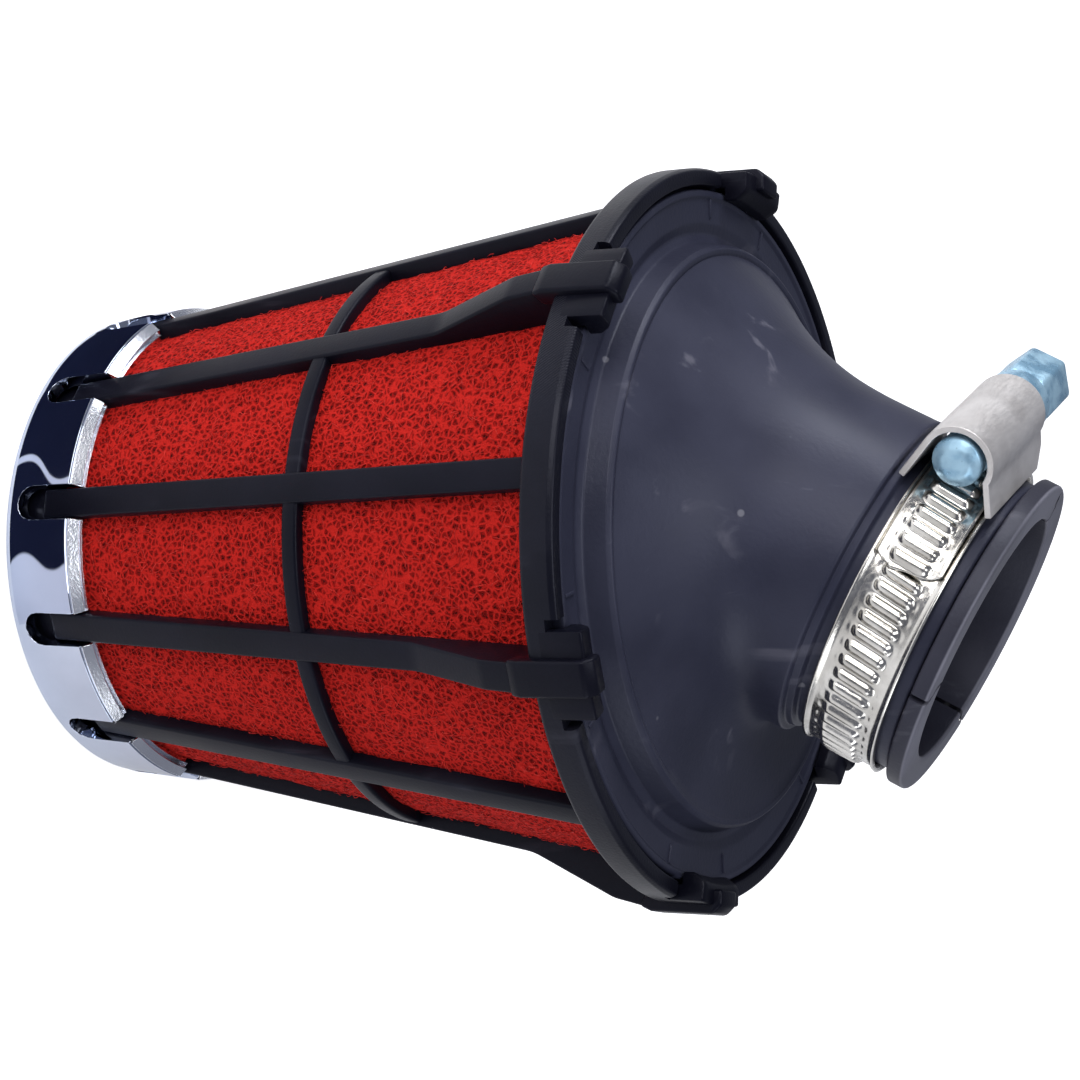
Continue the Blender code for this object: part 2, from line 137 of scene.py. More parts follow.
def closeEnds(bm, first, made):
    last = [part for part in made["geom_last"] if isinstance(part, bmesh.types.BMEdge)]
    bmesh.ops.contextual_create(bm, geom=first)
    bmesh.ops.contextual_create(bm, geom=last)


def edgesOver(bm, degrees):
    # the edges whose two faces turn by more than this
    bmesh.ops.recalc_face_normals(bm, faces=bm.faces)
    bm.normal_update()
    least = math.radians(degrees)
    return [edge for edge in bm.edges if edge.is_manifold and edge.calc_face_angle() > least]


def roundEdges(bm, edges, offset, segments):
    bmesh.ops.bevel(
        bm, geom=edges, offset=offset, offset_type="OFFSET", segments=segments, profile=0.5,
        affect="EDGES", clamp_overlap=True, material=-1,
    )


def slab(outline, thickness, rounding, segments=3):
    # a flat outline of (x, y) given a thickness about its plane, with every edge rounded
    bm = bmesh.new()
    face = bm.faces.new([bm.verts.new((x, y, -thickness / 2)) for x, y in outline])
    raised = bmesh.ops.extrude_face_region(bm, geom=[face])["geom"]
    tops = [part for part in raised if isinstance(part, bmesh.types.BMVert)]
    bmesh.ops.translate(bm, verts=tops, vec=(0, 0, thickness))
    roundEdges(bm, edgesOver(bm, 25), rounding, segments)
    return bm


def addCopies(target, source, places=(Matrix(),)):
    # adds a copy of source at each place and frees source
    holder = bpy.data.meshes.new("copyHolder")
    source.to_mesh(holder)
    source.free()
    for place in places:
        one = holder.copy()
        one.transform(place)
        target.from_mesh(one)
        bpy.data.meshes.remove(one)
    bpy.data.meshes.remove(holder)


def turnOutwards(bm, face, away):
    # an open surface: all its faces are turned over if this one looks the wrong way
    if face.normal.dot(away) < 0:
        bmesh.ops.reverse_faces(bm, faces=bm.faces)


def addModifier(piece, kind, **settings):
    modifier = piece.modifiers.new(kind.lower(), kind)
    for key, value in settings.items():
        setattr(modifier, key, value)


def addSoftEdges(piece, width, degrees):
    addModifier(
        piece, "BEVEL", width=width * toMetres, segments=2, limit_method="ANGLE",
        angle_limit=math.radians(degrees), harden_normals=True,
    )


def addObject(name, data):
    made = bpy.data.objects.new(name, data)
    bpy.context.scene.collection.objects.link(made)
    return made


def finishPiece(name, bm, finish, body, replaced=(), sharpAngle=35, flip=True):
    bmesh.ops.scale(bm, vec=(toMetres, toMetres, toMetres), verts=bm.verts)
    if flip:
        bmesh.ops.recalc_face_normals(bm, faces=bm.faces)
    mesh = bpy.data.meshes.new(name)
    bm.to_mesh(mesh)
    bm.free()
    mesh.shade_smooth()
    if sharpAngle:
        mesh.set_sharp_from_angle(angle=math.radians(sharpAngle))
    mesh.materials.append(finish)
    piece = addObject(name, mesh)
    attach(piece, body)
    if replaced:
        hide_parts(*replaced)
    return piece


def finishSheet(name, bm, finish, body, slotName, node, thickness, **settings):
    # an open surface that gets its thickness inwards, so its faces keep their sides
    piece = finishPiece(name, bm, finish, body, [node], sharpAngle=None, flip=False)
    addModifier(piece, "SOLIDIFY", thickness=thickness * toMetres, offset=-1, **settings)
    return piece


# An outline drawn as (radius, height) stands in a rib's plane
standUp = Matrix.Rotation(math.radians(90), 4, "X")


def radialPlaces(angles):
    return [Matrix.Rotation(angle, 4, "Z") @ standUp for angle in angles]


# ---- shader tools
class NodeBoard:
    # one node tree, with short calls that place and wire its nodes
    def __init__(self, tree):
        self.tree = tree
        self.column = 0

    def add(self, kind, inputs=None, **settings):
        node = self.tree.nodes.new(kind)
        node.location = (self.column, 0)
        self.column += 180
        for key, value in settings.items():
            setattr(node, key, value)
        for key, value in (inputs or {}).items():
            self.feed(node, key, value)
        return node

    def feed(self, node, key, value):
        if isinstance(value, bpy.types.NodeSocket):
            self.tree.links.new(value, node.inputs[key])
        else:
            node.inputs[key].default_value = value

    def math(self, operation, first, second=0.0):
        return self.add("ShaderNodeMath", {0: first, 1: second}, operation=operation).outputs[0]

    def times(self, first, second):
        return self.math("MULTIPLY", first, second)

    def plus(self, first, second):
        return self.math("ADD", first, second)

    def vector(self, operation, first, second):
        return self.add("ShaderNodeVectorMath", {0: first, 1: second}, operation=operation).outputs

    def noise(self, place, scale, detail, distortion=0.0):
        inputs = {"Vector": place, "Scale": scale, "Detail": detail, "Distortion": distortion}
        return self.add("ShaderNodeTexNoise", inputs).outputs["Fac"]

    def cells(self, place, scale, feature="F1"):
        inputs = {"Vector": place, "Scale": scale}
        return self.add("ShaderNodeTexVoronoi", inputs, feature=feature).outputs["Distance"]

    def ramp(self, factor, low, high, fromLow=0.0, fromHigh=1.0, smooth=True):
        node = self.add(
            "ShaderNodeMapRange",
            {"Value": factor, "From Min": fromLow, "From Max": fromHigh, "To Min": low, "To Max": high},
            interpolation_type="SMOOTHSTEP" if smooth else "LINEAR",
        )
        return node.outputs[0]

    def mix(self, factor, first, second):
        # a colour is (red, green, blue) or a socket
        node = self.add("ShaderNodeMix", data_type="RGBA")
        for key, value in ((0, factor), (6, first), (7, second)):
            self.feed(node, key, (*value, 1) if isinstance(value, tuple) else value)
        return node.outputs[2]

    def paint(self, shader, factor, first, second):
        self.feed(shader, "Base Color", self.mix(factor, first, second))

    def paintOver(self, shader, factor, colour):
        # lays a colour over what feeds Base Color so far
        self.paint(shader, factor, shader.inputs["Base Color"].links[0].from_socket, colour)

    def bump(self, shader, height, strength, distance):
        node = self.add("ShaderNodeBump", {"Height": height, "Strength": strength, "Distance": distance})
        self.feed(shader, "Normal", node.outputs[0])


def newGroup(name, inputs, outputs):
    # an input without a value is a vector; every other socket is a number
    tree = bpy.data.node_groups.new(name, "ShaderNodeTree")
    for label, value in inputs:
        kind = "NodeSocketVector" if value is None else "NodeSocketFloat"
        socket = tree.interface.new_socket(name=label, in_out="INPUT", socket_type=kind)
        if value is not None:
            socket.default_value = value
    for label in outputs:
        tree.interface.new_socket(name=label, in_out="OUTPUT", socket_type="NodeSocketFloat")
    board = NodeBoard(tree)
    return board, board.add("NodeGroupInput").outputs, board.add("NodeGroupOutput")


def makeGrainGroup():
    # moulded or handled surface: fine grain, broad mottling and thin scuffs, all from one place
    inputs = [
        ("Vector", None), ("Grain Scale", 2500.0), ("Mottle Scale", 60.0), ("Scuff Scale", 140.0),
        ("Scuff Amount", 0.3),
    ]
    board, given, out = newGroup("surfaceGrain", inputs, ["Height", "Mottle", "Scuff"])
    place = given["Vector"]
    grain = board.noise(place, given["Grain Scale"], 3.0)
    mottle = board.noise(place, given["Mottle Scale"], 5.0)
    turned = {"Vector": place, "Rotation": (0.4, 0.7, 0.3), "Scale": (1, 1, 0.12)}
    stretch = board.add("ShaderNodeMapping", turned).outputs[0]
    thin = board.ramp(board.noise(stretch, given["Scuff Scale"], 6.0, 1.2), 0.0, 1.0, 0.60, 0.72)
    patches = board.ramp(mottle, 0.0, 1.0, 0.45, 0.62)
    board.feed(out, "Height", board.plus(grain, board.times(mottle, 1.5)))
    board.feed(out, "Mottle", mottle)
    board.feed(out, "Scuff", board.times(board.times(thin, patches), given["Scuff Amount"]))
    return board.tree


def makePoreGroup():
    # open-cell foam: struts round pores, which the foam finishes paint dark as painted shade, with a finer
    # web inside
    board, given, out = newGroup(
        "openCells", [("Vector", None), ("Cell", 700.0), ("Warp", 0.0006)], ["Strut", "Height"]
    )
    place = given["Vector"]
    swirl = board.add("ShaderNodeTexNoise", {"Vector": place, "Scale": 900.0, "Detail": 2.0})
    centred = board.vector("SUBTRACT", swirl.outputs["Color"], (0.5, 0.5, 0.5))[0]
    shift = board.add("ShaderNodeVectorMath", {0: centred}, operation="SCALE")
    board.feed(shift, "Scale", given["Warp"])
    bent = board.vector("ADD", place, shift.outputs[0])[0]
    strut = board.ramp(board.cells(bent, given["Cell"], "DISTANCE_TO_EDGE"), 1.0, 0.0, 0.04, 0.42)
    fine = board.cells(bent, board.times(given["Cell"], 2.3), "DISTANCE_TO_EDGE")
    web = board.ramp(fine, 1.0, 0.0, 0.02, 0.26)
    both = board.math("MAXIMUM", strut, board.times(web, 0.62))
    fuzz = board.noise(place, 3200.0, 2.0)
    board.feed(out, "Strut", both)
    board.feed(out, "Height", board.plus(both, board.times(fuzz, 0.35)))
    return board.tree


grainGroup = makeGrainGroup()
poreGroup = makePoreGroup()


def newFinish(name, **sockets):
    finish = bpy.data.materials.new(name)
    finish.use_nodes = True
    board = NodeBoard(finish.node_tree)
    shader = finish.node_tree.nodes["Principled BSDF"]
    for key, value in sockets.items():
        shader.inputs[key.replace("_", " ")].default_value = value
    place = board.add("ShaderNodeTexCoord").outputs["Object"]
    return finish, board, shader, place


def useGroup(board, group, **inputs):
    named = {key.replace("_", " "): value for key, value in inputs.items()}
    return board.add("ShaderNodeGroup", named, node_tree=group).outputs


# ---- finishes
plasticSpec = {
    "dark": (0.0028, 0.0030, 0.0065),
    "light": (0.0060, 0.0060, 0.0115),
    "rough": 0.36,
    "grain": 2600.0,
    "depth": 0.00006,
    "scuffs": 0.5,
    "scuffColour": (0.04, 0.04, 0.055),
    "shine": 0.12,
}
ringPlasticSpec = {
    **plasticSpec,
    "dark": (0.0032, 0.0034, 0.0070),
    "light": (0.0068, 0.0070, 0.0130),
    "scuffColour": (0.045, 0.045, 0.060),
    "shine": 0.17,
    "markSlant": 0.8,
    "markPitch": 0.42,
    "markMiddle": math.radians(-142),
    "markHalf": math.radians(17),
}
rubberSpec = {
    "dark": (0.021, 0.0225, 0.039),
    "light": (0.032, 0.034, 0.056),
    "rough": 0.40,
    "grain": 1500.0,
    "depth": 0.00009,
    "scuffs": 0.8,
    "scuffColour": (0.10, 0.10, 0.13),
    "shine": 0.22,
    "speckScale": 95.0,
    "speckColour": (0.22, 0.22, 0.25),
}
sleeveRubberSpec = {
    "dark": (0.013, 0.013, 0.021),
    "light": (0.028, 0.028, 0.041),
    "rough": 0.46,
    "grain": 1700.0,
    "depth": 0.0001,
    "scuffs": 0.9,
    "scuffColour": (0.20, 0.20, 0.23),
    "shine": 0.32,
    "tintColour": (0.17, 0.17, 0.205),
}
chromeSpec = {
    "dark": (0.53, 0.585, 0.71),
    "light": (0.60, 0.65, 0.775),
    # the rim's pale colour is a painted highlight
    "rimHighlight": (0.86, 0.88, 0.93),
    "rimRough": 0.16,
}
bandSteelSpec = {
    "dark": (0.54, 0.52, 0.48),
    "light": (0.74, 0.72, 0.68),
    "metallic": 1.0,
    "rough": 0.15,
    "bump": 0.25,
}
housingSteelSpec = {
    "dark": (0.52, 0.50, 0.49),
    "light": (0.64, 0.62, 0.61),
    "metallic": 0.6,
    "rough": 0.40,
    "bump": 0.08,
}
zincSpec = {
    "dark": (0.20, 0.37, 0.52),
    "light": (0.36, 0.56, 0.70),
    "tintColour": (0.13, 0.22, 0.32),
}
redFoamSpec = {
    # poreShade is painted shade in the middles of the pores
    "poreShade": (0.045, 0.0012, 0.0012),
    "middle": (0.29, 0.006, 0.0045),
    "bright": (0.53, 0.017, 0.012),
    "cell": 1120.0,
}
greyFoamSpec = {
    # poreShade is painted shade in the middles of the pores
    "poreShade": (0.02, 0.02, 0.02),
    "middle": (0.10, 0.10, 0.11),
    "bright": (0.2, 0.2, 0.21),
    "cell": 1100.0,
}
threadSpec = {
    "root": (0.36, 0.007, 0.006),
    "tip": (0.64, 0.030, 0.020),
}


def mouldedFinish(name, spec):
    finish, board, shader, place = newFinish(
        name, Specular_IOR_Level=spec["shine"], Specular_Tint=(0.82, 0.85, 1.0, 1)
    )
    surface = useGroup(
        board, grainGroup, Vector=place, Grain_Scale=spec["grain"], Scuff_Amount=spec["scuffs"]
    )
    mottle, scuff = surface["Mottle"], surface["Scuff"]
    tone = board.mix(board.ramp(mottle, 0.0, 1.0, 0.3, 0.7), spec["dark"], spec["light"])
    board.paint(shader, scuff, tone, spec["scuffColour"])
    dull = board.plus(spec["rough"], board.times(scuff, 0.35))
    board.feed(shader, "Roughness", board.plus(dull, board.ramp(mottle, -0.05, 0.07, 0.3, 0.7)))
    board.bump(shader, surface["Height"], 0.35, spec["depth"])
    return finish, board, shader, place, surface


def makePlastic():
    return mouldedFinish("cagePlastic", plasticSpec)[0]


def makeRingPlastic():
    # the large ring also has fine slanted tool marks on one stretch of its outside
    spec = ringPlasticSpec
    finish, board, shader, place, surface = mouldedFinish("ringPlastic", spec)
    axes = board.add("ShaderNodeSeparateXYZ", {0: place}).outputs
    around = board.math("ARCTAN2", axes["Y"], axes["X"])
    along = board.times(around, layout["ringRadius"] * toMetres)
    slanted = board.plus(along, board.times(axes["Z"], spec["markSlant"]))
    lines = board.math("SINE", board.times(slanted, 2 * math.pi / (spec["markPitch"] * toMetres)))
    away = board.math("ABSOLUTE", board.math("SUBTRACT", around, spec["markMiddle"]))
    mask = board.ramp(away, 1.0, 0.0, spec["markHalf"] * 0.6, spec["markHalf"])
    marks = board.times(board.times(lines, mask), 0.5)
    board.bump(shader, board.plus(surface["Height"], marks), 0.4, 0.00008)
    return finish


def makeRubber():
    # dust specks lie on the rubber
    finish, board, shader, place = mouldedFinish("bootRubber", rubberSpec)[:4]
    specks = board.ramp(board.cells(place, rubberSpec["speckScale"]), 1.0, 0.0, 0.03, 0.055)
    board.paintOver(shader, board.times(specks, 0.5), rubberSpec["speckColour"])
    return finish


def makeSleeveRubber(faceLevel):
    # the end face is painted paler in mottled patches; its level is measured along the neck's axis
    finish, board, shader, place, surface = mouldedFinish("sleeveRubber", sleeveRubberSpec)
    along = board.vector("DOT_PRODUCT", place, tuple(neckAxis))["Value"]
    low = (faceLevel - 0.5) * toMetres
    face = board.ramp(along, 0.0, 1.0, low, low + 0.0003)
    # the end face is painted paler here, in mottled patches
    tintShare = board.times(face, board.ramp(surface["Mottle"], 0.55, 1.0, 0.35, 0.65))
    board.paintOver(shader, tintShare, sleeveRubberSpec["tintColour"])
    return finish


def makeChrome(rimStart):
    # the rim above rimStart is painted brighter as a painted highlight, and is also duller and finely
    # pitted
    finish, board, shader, place = newFinish("capChrome", Metallic=1.0)
    height = board.add("ShaderNodeSeparateXYZ", {0: place}).outputs["Z"]
    rim = board.ramp(height, 0.0, 1.0, rimStart * toMetres, (rimStart + 0.15) * toMetres)
    wisps = board.noise(place, 260.0, 5.0)
    side = board.mix(wisps, chromeSpec["dark"], chromeSpec["light"])
    # painted highlight: the rim gets a brighter colour in place of the highlights it catches
    board.paint(shader, rim, side, chromeSpec["rimHighlight"])
    rimShare = board.times(rim, chromeSpec["rimRough"])
    board.feed(shader, "Roughness", board.plus(board.ramp(wisps, 0.035, 0.075, 0.4, 0.7), rimShare))
    pitted = board.times(board.noise(place, 3200.0, 2.0), rimShare)
    board.bump(shader, board.plus(pitted, board.noise(place, 45.0, 1.0)), 0.5, 0.00022)
    return finish


def makeSteel(name, spec):
    finish, board, shader, place = newFinish(name, Metallic=spec["metallic"])
    drawn = board.add("ShaderNodeMapping", {"Vector": place, "Scale": (1.0, 0.15, 1.0)}).outputs[0]
    lines = board.noise(drawn, 2600.0, 3.0)
    stain = board.noise(place, 180.0, 4.0)
    board.paint(shader, board.ramp(stain, 0.0, 1.0, 0.35, 0.65), spec["dark"], spec["light"])
    board.feed(shader, "Roughness", board.ramp(lines, spec["rough"], spec["rough"] + 0.12, 0.3, 0.7))
    board.bump(shader, board.plus(lines, stain), spec["bump"], 0.00004)
    return finish


def makeZinc():
    finish, board, shader, place = newFinish("screwZinc", Metallic=0.5)
    cloud = board.noise(place, 420.0, 5.0)
    pits = board.cells(place, 900.0)
    colour = board.mix(board.ramp(cloud, 0.0, 1.0, 0.35, 0.65), zincSpec["dark"], zincSpec["light"])
    tintShare = board.times(board.ramp(pits, 1.0, 0.0, 0.05, 0.16), 0.5)
    board.paint(shader, tintShare, colour, zincSpec["tintColour"])
    board.feed(shader, "Roughness", board.ramp(cloud, 0.24, 0.42, 0.35, 0.65))
    board.bump(shader, board.plus(cloud, pits), 0.35, 0.00012)
    return finish


def makeFoam(name, spec):
    finish, board, shader, place = newFinish(name, Roughness=0.95, Specular_IOR_Level=0.10)
    pores = useGroup(board, poreGroup, Vector=place, Cell=spec["cell"])
    # painted shade: the pores are painted dark towards their middles, in place of the shade inside the
    # cells
    inside = board.mix(board.ramp(pores["Strut"], 0.0, 1.0, 0.05, 0.55), spec["poreShade"], spec["middle"])
    board.paint(shader, board.ramp(pores["Strut"], 0.0, 0.75, 0.6, 1.0), inside, spec["bright"])
    board.bump(shader, pores["Height"], 0.8, 0.0006)
    return finish


def makeThreadFinish():
    finish, board, shader, place = newFinish("redThread", Roughness=0.8, Specular_IOR_Level=0.3)
    tint = board.ramp(board.noise(place, 500.0, 2.0), 0.0, 1.0, 0.3, 0.7)
    board.paint(shader, tint, threadSpec["root"], threadSpec["tip"])
    return finish


# ---- end cap
capSpec = {
    "baseRadius": 33.4,
    "lipRadius": 34.6,
    "depth": 13.3,
    "edge": 2.0,
    "wall": 1.7,
    "slotWidth": 4.8,
    "slotEnd": 2.9,
    "slotHalfColumns": 4,
    "plainColumns": 16,
    "chamfer": 1.15,
    "rimStart": 12.0,
    "rimStep": 0.28,
    "softEdge": 0.22,
}
capSlope = (capSpec["lipRadius"] - capSpec["baseRadius"]) / capSpec["depth"]
capDipRow = capSpec["slotEnd"] + capSpec["slotWidth"] / 2  # a slot's round end begins here


def capColumnAngle(column, radius):
    # column counts from the middle of a slot; the slot's columns are spaced like a half circle's points
    half = capSpec["slotHalfColumns"]
    width = capSpec["slotWidth"] / 2
    edge = width / radius
    if abs(column) <= half:
        return width * math.sin(math.pi / 2 * column / half) / radius
    share = (abs(column) - half) / (capSpec["plainColumns"] / 2)
    angle = edge + (math.pi / layout["ribCount"] - edge) * share
    return math.copysign(angle, column)


def capProfile():
    # radius and height, from the middle of the flat end to the lip
    base = capSpec["baseRadius"]
    rimStart = capSpec["rimStart"]
    foot = filletPath([(base * 0.8, 0, 0), (base, 0, capSpec["edge"]), (base, 4, 0)], 7, False)
    path = [(0, 0), (base * 0.55, 0)] + foot[:-1]
    for height in (capDipRow, 8.0, 10.5, rimStart - 0.25):
        path.append((base + capSlope * height, height))
    rim = base + capSlope * rimStart
    groove = rim - capSpec["rimStep"]
    path += [(groove, rimStart - 0.08), (groove, rimStart + 0.1), (rim - 0.05, rimStart + 0.2)]
    return path + [(rim - capSpec["chamfer"], capSpec["depth"])]


def makeCap(finish):
    spec = capSpec
    ribCount = layout["ribCount"]
    halfSlot = spec["slotHalfColumns"]
    perSector = 2 * halfSlot + spec["plainColumns"]
    columns = perSector * ribCount
    pitch = 2 * math.pi / columns
    bm = spinPath(capProfile(), columns, closed=False)

    def columnOf(point):
        raw = math.atan2(point.y, point.x) / pitch
        return (raw + perSector / 2) % perSector - perSector / 2, raw

    doomed = []
    for face in bm.faces:
        middle = face.calc_center_median()
        if abs(columnOf(middle)[0]) < halfSlot and middle.z > capDipRow + 0.01:
            doomed.append(face)
    bmesh.ops.delete(bm, geom=doomed, context="FACES")
    for vert in bm.verts:
        radius = math.hypot(vert.co.x, vert.co.y)
        if radius < spec["baseRadius"] * 0.5:
            continue
        column, raw = columnOf(vert.co)
        column = round(column)
        sector = round((round(raw) - column) / perSector)
        angle = sector * 2 * math.pi / ribCount + capColumnAngle(column, radius) + layout["ribTurn"]
        if abs(vert.co.z - capDipRow) < 0.01 and abs(column) <= halfSlot:
            drop = math.cos(math.pi / 2 * column / halfSlot) * spec["slotWidth"] / 2
            vert.co.z -= drop
            radius -= capSlope * drop
        vert.co.x = radius * math.cos(angle)
        vert.co.y = radius * math.sin(angle)
    bmesh.ops.recalc_face_normals(bm, faces=bm.faces)
    flatEnd = max(bm.faces, key=lambda face: face.calc_area())
    turnOutwards(bm, flatEnd, Vector((0, 0, -1)))
    piece = finishSheet(
        "chromeCap", bm, finish, "filter", "chrome", "end_cap", spec["wall"], use_even_offset=True
    )
    addSoftEdges(piece, spec["softEdge"], 40)


# ---- cage
cageSpec = {
    "width": 4.0,
    "barWidth": 4.8,
    "depth": 3.4,
    "start": 6.0,
    "rounding": 0.4,
    "barRounding": 0.45,
    "kickStart": 70.0,
    "kickEnd": 82.5,
    "kickRadius": 48.6,
    "barStart": 87.0,
    "barRadius": 50.1,
    "barEnd": 98.4,
    "barChamfer": 1.2,
    "blockWidth": 11.6,
    "blockLow": 94.0,
    "blockHigh": 97.3,
    "blockInner": 45.2,
    "hoopLow": 49.9,
    "hoopWidth": 2.5,
    "smallRing": [(31.8, 9.0, 0.4), (31.0, 2.2, 0.4), (29.2, 2.2, 0.3), (29.9, 9.0, 0.3)],
    "seatRadius": 43.4,
    "seatTop": 91.0,
    "ringTop": 94.2,
    "ringWall": 2.4,
    "lipStart": 92.3,
    "lipGap": 7.2,
}


def makeRibs(finish):
    spec = cageSpec
    width, slim, start, rounding = spec["width"], spec["depth"], spec["start"], spec["rounding"]
    outer, ringLow = layout["ringRadius"], layout["ringLow"]
    barStart, barEnd, barRadius = spec["barStart"], spec["barEnd"], spec["barRadius"]
    low, high, inner = spec["blockLow"], spec["blockHigh"], spec["blockInner"]
    hooked = ribAngles(1)
    bm = bmesh.new()

    # Straight ribs end in the ring's web. Every rib's end in the cap is cut at a slant.
    end = ringLow + 0.9
    foot = [
        (ribRadius(start) - slim, start, 0),
        (ribRadius(start) - 0.9, start, 0),
        (ribRadius(start + 0.8), start + 0.8, 0),
    ]
    straight = foot + [(ribRadius(end), end, 0), (ribRadius(end) - slim, end, 0)]
    addCopies(bm, slab(filletPath(straight), width, rounding), radialPlaces(ribAngles(0)))

    # Hooked ribs swing out below the ring and run over it, and their inner edge stays on the foam.
    kicked = foot + [
        (ribRadius(spec["kickStart"]), spec["kickStart"], 9.0),
        (spec["kickRadius"], spec["kickEnd"], 6.0),
        (barRadius - 0.3, barStart + 1.5, 4.0),
        (barRadius - 0.3, ringLow + 3.0, 0),
        (outer - spec["ringWall"] / 2, ringLow + 3.0, 0),
        (ribRadius(end) - slim, end, 0),
    ]
    addCopies(bm, slab(filletPath(kicked), width, rounding), radialPlaces(hooked))
    bar = [
        (outer - 1.6, barStart + 0.6),
        (barRadius - 0.6, barStart - 0.4),
        (barRadius, barStart + 1.2),
        (barRadius, barEnd - spec["barChamfer"]),
        (barRadius - spec["barChamfer"], barEnd),
        (outer - 2.2, barEnd),
    ]
    addCopies(bm, slab(bar, spec["barWidth"], spec["barRounding"]), radialPlaces(hooked))

    # A curved block carries on the ring's outside past its lip and turns in over the rubber.
    root = outer - spec["ringWall"] + 0.3
    outside = outer + 0.03
    profile = filletPath([
        (root, ringLow + 1.8, 0),
        (outside, ringLow + 1.8, 0),
        (outside, high, 0.4),
        (inner + 1.2, high, 1.3),
        (inner, high - 1.7, 0.9),
        (inner, low, 0.3),
        (root, low, 0),
    ])
    half = spec["blockWidth"] / 2 / outer
    block = spinPath(profile, 8, start=-half, angle=2 * half)
    roundEdges(block, edgesOver(block, 60), 0.3, 2)
    addCopies(bm, block, [Matrix.Rotation(angle, 4, "Z") for angle in hooked])
    finishPiece("cageRibs", bm, finish, "filter", ["cage"])


def makeHoops(finish):
    # the middle hoop, just under the ribs' faces, and the small ring inside the cap
    spec = cageSpec
    low = spec["hoopLow"]
    high = low + spec["hoopWidth"]
    outer = ribRadius(low + spec["hoopWidth"] / 2) - 0.25
    hoop = filletPath([
        (outer + 0.15, high, 0.5), (outer - 0.15, low, 0.5),
        (outer - 2.4, low, 0.3), (outer - 2.1, high, 0.3),
    ], 3)
    small = filletPath(spec["smallRing"], 3)
    finishPiece("cageHoop", spinPath(hoop, 180), finish, "filter")
    finishPiece("cageSmallRing", spinPath(small, 144), finish, "filter")


def makeLargeRing(finish):
    # a band with an inward seat, and a lip that stops short of each hook
    spec = cageSpec
    outer, low, top = layout["ringRadius"], layout["ringLow"], spec["ringTop"]
    inner = outer - spec["ringWall"]
    seat, seatTop, lipStart = spec["seatRadius"], spec["seatTop"], spec["lipStart"]
    band = filletPath([
        (outer, lipStart + 0.2, 0),
        (outer - 0.05, low, 0.7),
        (seat, low, 0.3),
        (seat, seatTop, 0.3),
        (inner, seatTop, 0.3),
        (inner, lipStart + 0.2, 0),
    ])
    lip = filletPath([
        (outer - 0.35, top, 0.5),
        (outer, top - 0.8, 0.6),
        (outer, lipStart, 0),
        (inner, lipStart, 0),
        (inner + 0.15, top, 0.35),
    ])
    gap = spec["lipGap"] / outer
    step = 4 * math.pi / layout["ribCount"]
    ring = spinPath(band, 216)
    for angle in ribAngles(1):
        addCopies(ring, spinPath(lip, 36, start=angle + gap, angle=step - 2 * gap))
    finishPiece("cageRing", ring, finish, "filter")


# ---- foam
foamSpec = {
    "inset": 2.0,  # the foam swells between the ribs
    "wall": 7.7,
    "low": 1.6,
    "high": 91.0,
    "columns": 420,
    "rows": 165,
    "relief": 0.22,
}
linerLow, linerHigh = cadSpan("foam_inner")
linerSpec = {
    "inset": 10.0,
    "wall": 5.0,
    "low": linerLow.z,
    "high": linerHigh.z,
    "columns": 144,
    "rows": 60,
    "relief": 0.05,
}
strandSpec = {
    "count": 7500,
    "length": 1.7,
    "radius": 0.055,
}


def makeFoamCone(name, finish, node, spec):
    # only the outside is roughened
    low, high, rows = spec["low"], spec["high"], spec["rows"]
    path = []
    for row in range(rows + 1):
        height = low + (high - low) * row / rows
        path.append((ribRadius(height) - spec["inset"], height))
    for row in range(6, -1, -1):
        height = low + (high - low) * row / 6
        path.append((ribRadius(height) - spec["inset"] - spec["wall"], height))
    bm = spinPath(path, spec["columns"])
    middle = spec["inset"] + spec["wall"] * 0.5
    for vert in bm.verts:
        radius = math.hypot(vert.co.x, vert.co.y)
        if radius < ribRadius(vert.co.z) - middle:
            continue
        lumps = noise.noise(vert.co * 0.9) * 0.55 + noise.noise(vert.co * 0.25) * 0.8
        swell = spec["relief"] * (lumps - 0.25)
        vert.co.x += vert.co.x / radius * swell
        vert.co.y += vert.co.y / radius * swell
    piece = finishPiece(name, bm, finish, "filter", [node])


